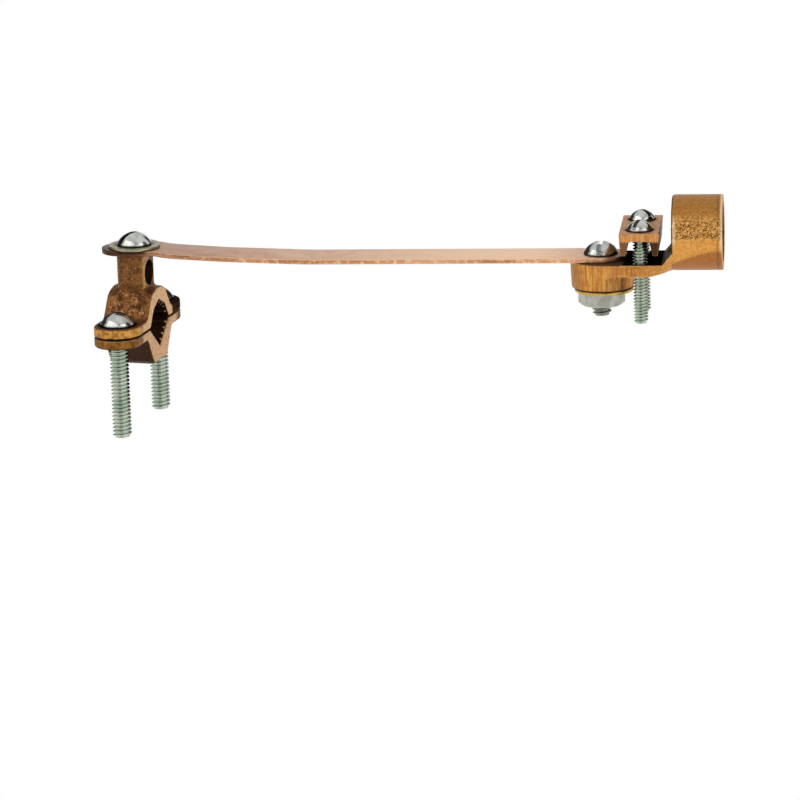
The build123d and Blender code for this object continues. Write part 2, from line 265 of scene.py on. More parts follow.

# Boss: its filed side below the top and out from the axis, the painted shade on its far end and at its
# foot, and the shallow pocket drawn in painted shade
BOSS_SIDE_DROP = (0.3 * MM, 1.2 * MM)
BOSS_SIDE_OUT = (9 * MM, 9.6 * MM)
BOSS_SIDE_END = (11 * MM, 20 * MM)
BOSS_SHADE_END = (5 * MM, 8 * MM)
BOSS_FOOT = (0.6 * MM, 0.3 * MM)
BOSS_FOOT_END = 14 * MM
BOSS_FOOT_SHADE = 0.75
BOSS_SHADE_END_SHARE = 0.8
POCKET_DROP = (4.4 * MM, 5.4 * MM)
POCKET_SPAN = (1 * MM, 2.2 * MM, 7.2 * MM, 7.6 * MM)
POCKET_STEP_AT = 7.3 * MM
POCKET_STEP_WIDE = 0.4 * MM
POCKET_SHADE = 0.32
POCKET_STEP_SHADE = 0.75

# Plate: painted shadow on its top along the strap, on the ramp up to the ring, and in the seam under the
# strap
PLATE_TOP = (4 * MM, 8 * MM)
PLATE_RAMP = (20 * MM, 21.5 * MM)
PLATE_END = (23.6 * MM, 24 * MM)
RAMP_SPAN = (17 * MM, 19 * MM, 23.8 * MM, 24.2 * MM)
RAMP_FOOT = 0.5 * MM
PLATE_RAMP_LIFT = 0.2
RAMP_SHADE = 0.9
STRAP_SEAM = 0.4 * MM
STRAP_SEAM_END = 7 * MM
STRAP_SEAM_SHADE = 0.9

# Saddle: the roof above its legs, half the channel with its fade, and how dark the painted shade is on the
# legs and their ends
SADDLE_ROOF = (3.3 * MM, 2.3 * MM)
CHANNEL_HALF = 4.6 * MM
CHANNEL_FADE = 0.6 * MM
LEG_SHADE = 0.46
LEG_END_SHADE = 0.42
NEAR_LEG_SHARE = 0.1

# Strap: points along it and round its ends, its underside's samples and how they are eased, its round edge
STATION = 1.0 * MM
END_STEPS = 14
SAMPLE = 0.5 * MM
SAMPLES_PAST = 8 * MM
EASE_REACH = 12
EASE_SPREAD = 4
STRAP_EDGE = 0.24 * MM
STRAP_CORNER_POINTS = 5

# Along the strap from the post: where it leaves the post's top, its tarnish and painted shade, its darker
# ends in painted shade and its painted highlight
SEATED = (7 * MM, 10 * MM)
TARNISH_AND_SHADE_NEAR = (0, 10 * MM)
TARNISH_AND_SHADE_FAR = (10 * MM, 60 * MM)
TARNISH_AND_SHADE_FAR_SHARE = 0.40
TAIL_FADE = (-7 * MM, -3 * MM)
TAIL_SHADE = 0.5
NOSE_FADE = (0.5 * MM, 3 * MM)
NOSE_TARNISH_AND_SHADE = 0.85
BRIGHT_SPAN = (50 * MM, 125 * MM, 132 * MM, 152 * MM)
WASHER_SHADOW = (8.8 * MM, 9.6 * MM)
WASHER_SHADOW_DEEP = 0.35 * MM
WASHER_SHADOW_SHADE = 0.95

# Stamped pieces: how far their edges are eased, and the painted shadow on the top edge of the hub's washer
POST_WASHER_EASE = 0.2 * MM
HUB_WASHER_EASE = 0.3 * MM
NUT_EASE = 0.12 * MM
HUB_WASHER_SHADOW = (0.3 * MM, 0.05 * MM)

# Stage, in metres: half the floor's width, and how far it lies under the clamp
FLOOR_HALF = 3
FLOOR_DROP = 0.12

# Light: how bright the tent is, how dark its open front and where that starts, facing the camera
TENT_LIGHT = 0.80
TENT_DARK = 0.10
TENT_FRONT = (0.60, 0.93)

# The tent's gaps: middle and half width in degrees and height of the top, their faded edges and their depth
TENT_GAPS = ((-132, 30, 0.52), (-60, 7, 0.66), (88, 14, 0.60), (142, 13, 0.50))
GAP_FADE = 5
GAP_TOP_FADE = 0.14
GAP_SHADE = 0.94

# Lamps: name, place, size and power
LAMPS = (
    ("Soft key from the left", (-0.40, -0.90, 0.70), (1.6, 1.2), 7),
    ("Soft fill from the right", (0.95, -0.60, 0.45), (1.1, 1.0), 3.4),
)

# Camera: the photograph's own viewpoint, worked out from the clamp's sizes
CAMERA_RISE = math.radians(14.457)
CAMERA_TURN = math.radians(17.184)
CAMERA_ROLL = math.radians(-1.671)
CAMERA_FAR = 1.58065
CAMERA_AIM = Vector((0.08550, 0.01662, -0.02746))
LENS_PIXELS = 4750.5
PICTURE = 800


def colour(red, green, blue):
    """A colour as an eye reads it, 0 to 255, in the renderer's linear light."""
    def linear(value):
        value /= 255
        return value / 12.92 if value <= 0.04045 else ((value + 0.055) / 1.055) ** 2.4
    return (linear(red), linear(green), linear(blue), 1.0)


# Small helpers that write node trees

def add(tree, kind, inputs=None, **settings):
    """A new node with its settings; each input is a socket to join or a plain value."""
    node = tree.nodes.new(kind)
    for name, value in settings.items():
        setattr(node, name, value)
    for key, value in (inputs or {}).items():
        if isinstance(value, bpy.types.NodeSocket):
            tree.links.new(value, node.inputs[key])
        else:
            node.inputs[key].default_value = value
    return node


def maths(tree, operation, *values):
    """One sum on numbers in a node tree."""
    return add(tree, "ShaderNodeMath", dict(enumerate(values)), operation=operation).outputs[0]


def plus(tree, first, second):
    return maths(tree, "ADD", first, second)


def minus(tree, first, second):
    return maths(tree, "SUBTRACT", first, second)


def times(tree, first, second):
    return maths(tree, "MULTIPLY", first, second)


def larger(tree, first, second):
    return maths(tree, "MAXIMUM", first, second)


def smaller(tree, first, second):
    return maths(tree, "MINIMUM", first, second)


def blend_colours(tree, share, first, second):
    node = add(tree, "ShaderNodeMix", {0: share, 6: first, 7: second}, data_type="RGBA")
    return node.outputs[2]


def steps(tree, value, low, high, to_low=0.0, to_high=1.0):
    """A smooth rise of value from low to high."""
    node = add(tree, "ShaderNodeMapRange", {0: value, 1: low, 2: high, 3: to_low, 4: to_high},
               interpolation_type="SMOOTHSTEP")
    return node.outputs[0]


def group(name, inputs, outputs):
    """An empty shader group with named inputs and outputs; returns it with its two ends."""
    tree = bpy.data.node_groups.new(name, "ShaderNodeTree")
    for label, kind, value in inputs:
        socket = tree.interface.new_socket(label, in_out="INPUT", socket_type=kind)
        socket.default_value = value
    for label, kind in outputs:
        tree.interface.new_socket(label, in_out="OUTPUT", socket_type=kind)
    return tree, tree.nodes.new("NodeGroupInput").outputs, tree.nodes.new("NodeGroupOutput").inputs


FLOAT, VECTOR = "NodeSocketFloat", "NodeSocketVector"
COUNT, MATERIAL = "NodeSocketInt", "NodeSocketMaterial"


def cloudy(tree, place, scale, detail, rough, warp=0.0):
    """Noise from 0 to 1; its scale is in waves a metre."""
    return add(tree, "ShaderNodeTexNoise", {"Vector": place, "Scale": scale, "Detail": detail,
                                            "Roughness": rough, "Distortion": warp}).outputs[0]


def squeezed_place(tree, given):
    """The object's own coordinates, turned and then squeezed as the group's inputs say."""
    place = add(tree, "ShaderNodeTexCoord").outputs["Object"]
    turned = add(tree, "ShaderNodeVectorRotate", {"Vector": place, "Rotation": given["Turn"]},
                 rotation_type="EULER_XYZ").outputs[0]
    squeezed = add(tree, "ShaderNodeVectorMath", {0: turned, 1: given["Squeeze"]}, operation="MULTIPLY")
    return squeezed.outputs[0]


def cast_skin_group():
    """Sand cast skin: cloudy tone, lumps, grains and small ragged pits. Scales are in waves a metre."""
    tree, given, out = group(
        "Cast skin",
        (("Grain Scale", FLOAT, 1500.0), ("Lump Scale", FLOAT, 600.0), ("Pit Depth", FLOAT, 0.6)),
        (("Cloud", FLOAT), ("Lumps", FLOAT), ("Grain", FLOAT), ("Pits", FLOAT), ("Height", FLOAT)),
    )
    place = add(tree, "ShaderNodeTexCoord").outputs["Object"]
    cloud = cloudy(tree, place, 210.0, 4.0, 0.6)
    lumps = cloudy(tree, place, given["Lump Scale"], 3.0, 0.55)
    grain = cloudy(tree, place, given["Grain Scale"], 4.0, 0.7)
    hole = cloudy(tree, place, times(tree, given["Grain Scale"], 0.62), 2.0, 0.5, 0.8)
    pits = steps(tree, hole, 0.30, 0.42, 1.0, 0.0)
    height = plus(tree, times(tree, lumps, 1.4), times(tree, grain, 0.6))
    height = minus(tree, height, times(tree, pits, given["Pit Depth"]))
    made = {"Cloud": cloud, "Lumps": lumps, "Grain": grain, "Pits": pits, "Height": height}
    for label, value in made.items():
        tree.links.new(value, out[label])
    return tree


def fine_scratch_group():
    """Fine marks along one direction, as filing, rolling or wiping leaves; Squeeze makes them long."""
    tree, given, out = group(
        "Fine scratches",
        (("Squeeze", VECTOR, (1, 1, 1)), ("Turn", VECTOR, (0, 0, 0)), ("Scale", FLOAT, 900.0)),
        (("Streak", FLOAT), ("Height", FLOAT)),
    )
    place = squeezed_place(tree, given)
    wide = cloudy(tree, place, given["Scale"], 3.0, 0.7)
    fine = cloudy(tree, place, times(tree, given["Scale"], 3.7), 2.0, 0.6)
    tree.links.new(steps(tree, wide, 0.32, 0.68), out["Streak"])
    tree.links.new(plus(tree, wide, times(tree, fine, 0.5)), out["Height"])
    return tree


def crinkle_group():
    """Skin that shrank into short winding folds as the casting cooled."""
    tree, given, out = group(
        "Shrink wrinkles",
        (("Scale", FLOAT, 600.0), ("Squeeze", VECTOR, (1, 1, 1)), ("Turn", VECTOR, (0, 0, 0))),
        (("Furrow", FLOAT), ("Height", FLOAT)),
    )
    wave = cloudy(tree, squeezed_place(tree, given), given["Scale"], 1.5, 0.5, 1.1)
    tree.links.new(steps(tree, wave, 0.40, 0.49, 1.0, 0.0), out["Furrow"])
    tree.links.new(steps(tree, wave, 0.42, 0.58), out["Height"])
    return tree


CAST_SKIN = cast_skin_group()
FINE_SCRATCHES = fine_scratch_group()
CRINKLE = crinkle_group()


def finish_shell(name):
    """A new material with its tree and its shader."""
    material = bpy.data.materials.new(name)
    material.use_nodes = True
    tree = material.node_tree
    return material, tree, tree.nodes["Principled BSDF"]


def use_group(tree, kind, inputs):
    """A shared group placed in a material's tree with its own values; returns its outputs."""
    return add(tree, "ShaderNodeGroup", inputs, node_tree=kind).outputs


def painted(tree, label):
    """What the piece's mesh is painted with, from 0 to 1."""
    return add(tree, "ShaderNodeAttribute", attribute_name=label).outputs["Fac"]


def toned(tree, value, low, high, dark, light):
    """From the dark colour to the light one as a value rises from low to high."""
    return blend_colours(tree, steps(tree, value, low, high), colour(*dark), colour(*light))


def laid(tree, base, mask, share, tint):
    """A tint laid over the base by a mask, which is a socket or the label of some paint."""
    if isinstance(mask, str):
        mask = painted(tree, mask)
    return blend_colours(tree, times(tree, mask, share), base, colour(*tint))


def bump(tree, shader, height, distance, strength=1.0):
    node = add(tree, "ShaderNodeBump", {"Height": height, "Distance": distance, "Strength": strength})
    tree.links.new(node.outputs[0], shader.inputs["Normal"])


def finish_cast(tree, shader, base, rough, metal, shine):
    """Joins a casting's colour and roughness; where it is shaded it is neither metal nor shiny."""
    shade = painted(tree, "shade")
    metal_starts, metal_share = metal
    tree.links.new(base, shader.inputs["Base Color"])
    tree.links.new(rough, shader.inputs["Roughness"])
    tree.links.new(steps(tree, shade, metal_starts, 1.0, metal_share, 0.0), shader.inputs["Metallic"])
    tree.links.new(steps(tree, shade, 0.0, 1.0, shine, 0.0), shader.inputs["Specular IOR Level"])


def jaw_bronze():
    """Dark brown cast skin, tan at the jaws' ends, golden round the ears' rims, black with painted shade
    inside.
    """
    material, tree, shader = finish_shell("Sand cast jaw bronze")
    skin = use_group(tree, CAST_SKIN, {"Grain Scale": 1500.0, "Lump Scale": 620.0, "Pit Depth": 0.9})
    rough, end_face = painted(tree, "rough"), painted(tree, "end_face")
    brown = toned(tree, skin["Cloud"], 0.36, 0.64, (92, 56, 26), (134, 88, 46))
    brown = laid(tree, brown, steps(tree, skin["Grain"], 0.52, 0.66), 0.8, (188, 136, 84))
    # Painted highlights on the rough slope's raised lumps, and painted shade in its dips
    speckle = times(tree, steps(tree, skin["Lumps"], 0.56, 0.68), rough)
    brown = laid(tree, brown, speckle, 0.7, (206, 150, 100))
    sunken = times(tree, steps(tree, skin["Lumps"], 0.36, 0.46, 1.0, 0.0), rough)
    brown = laid(tree, brown, sunken, 0.7, (70, 36, 16))
    tan = toned(tree, skin["Grain"], 0.35, 0.65, (200, 152, 102), (246, 204, 156))
    gold = toned(tree, skin["Lumps"], 0.34, 0.66, (160, 106, 40), (222, 162, 84))
    darker_tone = toned(tree, skin["Lumps"], 0.34, 0.66, (94, 56, 14), (140, 90, 32))
    rim = blend_colours(tree, painted(tree, "gilt"), darker_tone, gold)
    base = blend_colours(tree, end_face, brown, tan)
    base = blend_colours(tree, painted(tree, "ear_rim"), base, rim)
    # Lighter edges, and a painted highlight along the edges of the post's flats
    wear_and_highlight = larger(tree, times(tree, painted(tree, "edge"), 0.5), painted(tree, "wear_and_highlight"))
    base = laid(tree, base, wear_and_highlight, 1.0, (214, 168, 112))
    # Painted shade on undersides and in hollows, and black painted shade inside, round the heads and on the
    # rear ear
    base = laid(tree, base, "under", 0.9, (52, 24, 4))
    base = laid(tree, base, "hollow", 0.8, (34, 19, 8))
    pitted = times(tree, skin["Pits"], steps(tree, end_face, 0.0, 0.8, 0.55, 0.32))
    base = laid(tree, base, pitted, 1.0, (50, 28, 12))
    base = laid(tree, base, "shade", 1.0, (26, 15, 8))
    finish_cast(tree, shader, base, steps(tree, skin["Grain"], 0.3, 0.7, 0.40, 0.60), (0.0, 0.85), 0.35)
    bump(tree, shader, skin["Height"], 0.0003, 0.9)
    return material


def hub_bronze():
    """Golden cast bronze: streaks on the boss, a wrinkled band round the ring, a darker belly below as a
    painted reflection.
    """
    material, tree, shader = finish_shell("Golden hub bronze")
    skin = use_group(tree, CAST_SKIN, {"Grain Scale": 1500.0, "Lump Scale": 500.0, "Pit Depth": 0.4})
    filed = use_group(tree, FINE_SCRATCHES, {"Squeeze": (1.0, 1.0, 0.10), "Scale": 1150.0})
    crinkle = use_group(tree, CRINKLE, {"Scale": 1500.0, "Squeeze": (0.75, 0.8, 1.15), "Turn": (0, 0.6, 0)})
    boss_side, folded = painted(tree, "filed"), painted(tree, "crinkle")

    def grained(dark, light):
        return toned(tree, skin["Grain"], 0.34, 0.66, dark, light)

    def laid_grained(base, label, share, dark, light):
        return blend_colours(tree, times(tree, painted(tree, label), share), base, grained(dark, light))
    base = grained((188, 124, 56), (224, 162, 88))
    # A painted reflection: the brighter band round the ring below the wrinkles
    base = laid_grained(base, "bright", 0.8, (204, 138, 60), (240, 178, 94))
    streaks = blend_colours(tree, filed["Streak"], colour(170, 104, 40), colour(242, 178, 94))
    streaks = laid(tree, streaks, steps(tree, skin["Cloud"], 0.48, 0.60), 0.6, (176, 104, 54))
    base = blend_colours(tree, times(tree, boss_side, 0.8), base, streaks)
    # Painted shade: the ring's top and the boss's far end, darker
    base = laid_grained(base, "darker_tone", 0.85, (150, 100, 42), (186, 132, 66))
    # Painted highlights on the folds' crests and painted shade in their furrows
    base = laid(tree, base, times(tree, crinkle["Height"], folded), 0.85, (248, 190, 110))
    base = laid(tree, base, times(tree, crinkle["Furrow"], folded), 0.9, (118, 70, 24))
    # A painted reflection: the ring's darker belly
    base = laid_grained(base, "belly", 1.0, (162, 100, 48), (186, 122, 64))
    base = laid(tree, base, "edge", 0.5, (246, 204, 144))
    # Wear and painted highlights at the ring's mouth and lip
    base = laid(tree, base, "wear_and_highlight", 0.8, (254, 216, 168))
    # Painted shade in hollows, in the thread, on the plate, at the boss's foot and in the pocket
    base = laid(tree, base, "hollow", 0.6, (84, 44, 18))
    base = laid(tree, base, "shade", 1.0, (24, 14, 8))
    finish_cast(tree, shader, base, steps(tree, skin["Grain"], 0.3, 0.7, 0.34, 0.50), (0.0, 0.9), 0.5)
    fine = times(tree, skin["Height"], 0.35)
    folds = times(tree, crinkle["Height"], times(tree, folded, 2.0))
    scraped = times(tree, filed["Height"], boss_side)
    bump(tree, shader, plus(tree, fine, plus(tree, folds, scraped)), 0.00018, 0.9)
    return material


def saddle_bronze():
    """Brownish cast bronze, filed to a warm orange on its end faces, dark with painted shade inside its
    channel and on its legs.
    """
    material, tree, shader = finish_shell("Saddle bronze")
    skin = use_group(tree, CAST_SKIN, {"Grain Scale": 1400.0, "Lump Scale": 520.0, "Pit Depth": 0.5})
    filed = use_group(tree, FINE_SCRATCHES,
                      {"Squeeze": (1.0, 1.0, 0.25), "Turn": (0, 0, -STRAP_TURN), "Scale": 800.0})
    base = toned(tree, skin["Cloud"], 0.38, 0.62, (172, 120, 78), (200, 146, 100))
    faced = blend_colours(tree, filed["Streak"], colour(196, 130, 68), colour(230, 168, 104))
    base = blend_colours(tree, painted(tree, "filed"), base, faced)
    base = laid(tree, base, "edge", 0.5, (226, 178, 124))
    # Painted shade in hollows, on the legs and in the channel
    base = laid(tree, base, "hollow", 0.7, (46, 26, 12))
    base = laid(tree, base, "shade", 1.0, (40, 21, 10))
    finish_cast(tree, shader, base, steps(tree, skin["Grain"], 0.3, 0.7, 0.38, 0.54), (0.3, 0.88), 0.5)
    bump(tree, shader, plus(tree, skin["Height"], filed["Height"]), 0.0001, 0.7)
    return material


def strap_copper():
    """Rolled copper with fine marks along the strap, sheared edges with painted glints, and an end under
    the washer darkened by discolouring and painted shade.
    """
    material, tree, shader = finish_shell("Rolled strap copper")
    rolled = use_group(tree, FINE_SCRATCHES,
                       {"Squeeze": (0.05, 1.0, 1.0), "Turn": (0, 0, -STRAP_TURN), "Scale": 700.0})
    dents = use_group(tree, FINE_SCRATCHES,
                      {"Squeeze": (0.5, 1.0, 1.0), "Turn": (0, 0, 0.5 - STRAP_TURN), "Scale": 90.0})
    skin = use_group(tree, CAST_SKIN, {"Grain Scale": 700.0, "Lump Scale": 300.0, "Pit Depth": 0.1})
    tarnish_and_shade = painted(tree, "tarnish_and_shade")
    face = blend_colours(tree, rolled["Streak"], colour(214, 164, 128), colour(234, 186, 150))
    face = laid(tree, face, steps(tree, skin["Cloud"], 0.42, 0.60), 0.7, (204, 156, 124))
    face = laid(tree, face, dents["Streak"], 0.35, (238, 200, 172))
    # A painted highlight on the part towards the hub
    face = laid(tree, face, "bright", 0.9, (255, 214, 174))
    # Tarnish and painted shade towards the post
    face = laid(tree, face, tarnish_and_shade, 0.9, (100, 58, 30))
    sheared = blend_colours(tree, rolled["Streak"], colour(192, 128, 86), colour(236, 176, 130))
    # Painted glints on the sheared edges, none where the strap is darker
    painted_glints = times(tree, steps(tree, skin["Grain"], 0.50, 0.60), steps(tree, tarnish_and_shade, 0.3, 0.8, 1, 0))
    sheared = laid(tree, sheared, painted_glints, 0.7, (254, 222, 190))
    sheared = laid(tree, sheared, tarnish_and_shade, 0.9, (70, 40, 22))
    base = blend_colours(tree, painted(tree, "side"), face, sheared)
    lit_edge = times(tree, painted(tree, "edge"), steps(tree, tarnish_and_shade, 0.2, 0.9, 0.5, 0.05))
    base = laid(tree, base, lit_edge, 1.0, (248, 212, 184))
    base = laid(tree, base, "shade", 1.0, (30, 18, 12))
    tree.links.new(base, shader.inputs["Base Color"])
    tree.links.new(steps(tree, rolled["Streak"], 0.0, 1.0, 0.32, 0.42), shader.inputs["Roughness"])
    shader.inputs["Metallic"].default_value = 0.95
    bump(tree, shader, plus(tree, rolled["Height"], times(tree, skin["Lumps"], 1.5)), 0.00005, 0.5)
    return material


def plated(name, dark, light, rough, marks=0.35):
    """Zinc or brass plate with faint wiping marks and cloudy tone, with painted shade in its roots, slots
    and seats and painted dark reflections up its threads.
    """
    material, tree, shader = finish_shell(name)
    skin = use_group(tree, CAST_SKIN, {"Grain Scale": 800.0, "Lump Scale": 400.0, "Pit Depth": 0.1})
    wiped = use_group(tree, FINE_SCRATCHES,
                      {"Squeeze": (0.4, 1.0, 0.6), "Turn": (0.3, 0.2, 0.9), "Scale": 600.0})
    base = toned(tree, skin["Cloud"], 0.35, 0.65, dark, light)
    # Painted shade in the threads' roots, and black painted shade where the piece is painted with it
    base = laid(tree, base, "root", 0.5, (112, 118, 102))
    base = laid(tree, base, "shade", 1.0, (26, 22, 18))
    tree.links.new(base, shader.inputs["Base Color"])
    mixed = plus(tree, times(tree, skin["Cloud"], 0.6), times(tree, wiped["Streak"], 0.4))
    tree.links.new(steps(tree, mixed, 0.25, 0.75, *rough), shader.inputs["Roughness"])
    shader.inputs["Metallic"].default_value = 1.0
    bump(tree, shader, wiped["Height"], 0.00002, marks)
    return material


JAW_BRONZE = jaw_bronze()
HUB_BRONZE = hub_bronze()
SADDLE_BRONZE = saddle_bronze()
STRAP_COPPER = strap_copper()
HEAD_ZINC = plated("Bright zinc heads", (176, 178, 172), (214, 216, 210), (0.06, 0.18), 0.3)
THREAD_ZINC = plated("Zinc threads", (200, 216, 200), (234, 242, 228), (0.2, 0.32))
DULL_ZINC = plated("Yellowish zinc washer", (142, 136, 108), (172, 164, 132), (0.25, 0.4))
WASHER_BRASS = plated("Washer brass", (176, 134, 56), (214, 176, 92), (0.24, 0.36))
NUT_ZINC = plated("Dull nut zinc", (158, 158, 148), (190, 190, 180), (0.26, 0.4))


# Meshes

def baked(piece):
    """Turns a piece with modifiers into a plain mesh."""
    bpy.context.view_layer.update()
    shape = bpy.data.meshes.new_from_object(piece.evaluated_get(bpy.context.evaluated_depsgraph_get()))
    old = piece.data
    piece.modifiers.clear()
    piece.data = shape
    bpy.data.meshes.remove(old)
    return piece


def piece_from(name, mesh):
    piece = bpy.data.objects.new(name, mesh)
    scene.collection.objects.link(piece)
    return piece


@contextmanager
def opened(mesh):
    """A mesh opened for editing, and written back when that is done."""
    shell = bmesh.new()
    shell.from_mesh(mesh)
    yield shell
    shell.to_mesh(mesh)
    shell.free()


def merged_copy(node, name):
    """A copy of a CAD node's mesh with its loose triangles joined."""
    shell = bmesh.new()
    shell.from_mesh(frame["nodes"][node].data)
    bmesh.ops.remove_doubles(shell, verts=shell.verts, dist=MERGE)
    mesh = bpy.data.meshes.new(name)
    shell.to_mesh(mesh)
    shell.free()
    mesh.materials.clear()
    return piece_from(name, mesh)


def cut_by(piece, shape):
    """Cuts a shape, which is a mesh still open for editing, out of a piece."""
    mesh = bpy.data.meshes.new("cutter")
    shape.to_mesh(mesh)
    shape.free()
    cutter = piece_from("cutter", mesh)
    cut = piece.modifiers.new("Cut", "BOOLEAN")
    cut.object = cutter
    cut.operation = "DIFFERENCE"
    cut.solver = "EXACT"
    baked(piece)
    bpy.data.objects.remove(cutter)


def bevelled(piece, width, segments, angle):
    """Rounds the edges that are sharper than the angle, in degrees."""
    bevel = piece.modifiers.new("Eased edges", "BEVEL")
    bevel.width = width
    bevel.segments = segments
    bevel.limit_method = "ANGLE"
    bevel.angle_limit = math.radians(angle)
    bevel.harden_normals = True
    return baked(piece)


def paint(piece, label, values):
    """Stores one number for each vertex, for the material to read."""
    layer = piece.data.attributes.new(label, "FLOAT", "POINT")
    layer.data.foreach_set("value", np.clip(values, 0, 1).astype(np.float32))


def points_of(mesh):
    places = np.empty(len(mesh.vertices) * 3)
    mesh.vertices.foreach_get("co", places)
    return places.reshape(-1, 3)


def normals_of(mesh):
    directions = np.empty(len(mesh.vertices) * 3, np.float32)
    mesh.vertex_normals.foreach_get("vector", directions)
    return directions.reshape(-1, 3).astype(float)


def put_points(mesh, places):
    mesh.vertices.foreach_set("co", places.astype(np.float32).ravel())
    mesh.update()


def bend_of(mesh, rounds):
    """How far each vertex stands out of its neighbours, spread over a few rounds: positive on edges."""
    places, directions = points_of(mesh), normals_of(mesh)
    ends = np.empty(len(mesh.edges) * 2, np.int32)
    mesh.edges.foreach_get("vertices", ends)
    first, second = ends.reshape(-1, 2).T
    across = places[second] - places[first]
    long = np.linalg.norm(across, axis=1) + 1e-12
    count = np.bincount(first, minlength=len(places)) + np.bincount(second, minlength=len(places))
    out = np.zeros(len(places))
    np.add.at(out, first, -np.einsum("ij,ij->i", directions[first], across) / long)
    np.add.at(out, second, np.einsum("ij,ij->i", directions[second], across) / long)
    out /= np.maximum(count, 1)
    for _ in range(rounds):
        near = np.zeros(len(places))
        np.add.at(near, first, out[second])
        np.add.at(near, second, out[first])
        out = 0.4 * out + 0.6 * near / np.maximum(count, 1)
    return out


def smooth_rise(value, low, high):
    share = np.clip((value - low) / (high - low), 0, 1)
    return share * share * (3 - 2 * share)


def span(value, rise_low, rise_high, fall_low, fall_high):
    """Rises between the first two values and falls between the last two."""
    return smooth_rise(value, rise_low, rise_high) * (1 - smooth_rise(value, fall_low, fall_high))


def ridge(value, at, wide):
    """A soft line at one value."""
    return np.exp(-((value - at) / wide) ** 2)


def most(*masks):
    return np.maximum.reduce(masks)


def soft_noise(places, scale, seed):
    """Smooth noise from -1 to 1 at each place; scale is in waves a metre."""
    away = Vector((seed * 7.3, seed * 3.1, seed * 5.7))
    return np.array([noise.noise(Vector(place) * scale + away) for place in places])


def cast_body(node, voxel, lumps):
    """A casting: the solid's own shape, its edges rounded off, its faces a little uneven, with painted
    shade in hollows and underneath.
    """
    piece = merged_copy(node, "cast_" + node)
    remesh = piece.modifiers.new("Even skin", "REMESH")
    remesh.mode = "VOXEL"
    remesh.voxel_size = voxel
    remesh.use_smooth_shade = True
    soften = piece.modifiers.new("Worn edges", "SMOOTH")
    soften.factor = 0.5
    soften.iterations = 2
    baked(piece)
    mesh = piece.data
    places, directions = points_of(mesh), normals_of(mesh)
    rise = soft_noise(places, BROAD_WAVES, 1) + 0.5 * soft_noise(places, FINE_WAVES, 2) - SETTLED
    put_points(mesh, places + directions * (rise * lumps)[:, None])
    mesh.shade_smooth()
    bend = bend_of(mesh, 4)
    # Lighter edges, painted shade in hollows, and painted shade on faces turned downwards
    paint(piece, "edge", smooth_rise(bend, *EDGE_BEND))
    paint(piece, "hollow", smooth_rise(-bend, *HOLLOW_BEND))
    paint(piece, "under", smooth_rise(-directions[:, 2], *UNDER_LEAN))
    return piece


def seat_shade(places, directions, node, rim, spread=SEAT_END):
    """Dark on upward faces close round a screw's head, where the head keeps the light off."""
    low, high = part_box(node)
    away = np.hypot(places[:, 0] - (low.x + high.x) / 2, places[:, 1] - (low.y + high.y) / 2)
    upward = smooth_rise(directions[:, 2], *FACING["seat"])
    return (1 - smooth_rise(away, rim + SEAT_START, rim + spread)) * upward


def upright(directions, kind):
    """Where faces stand upright, as a share."""
    return smooth_rise(np.hypot(directions[:, 0], directions[:, 1]), *FACING[kind])


def dress(piece, material, body, slot, *nodes):
    """Gives a piece its finish and hands it to the body that it rides on."""
    piece.data.materials.clear()
    piece.data.materials.append(material)
    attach(piece, body)
    if nodes:
        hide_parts(*nodes)
    return piece


# Jaws

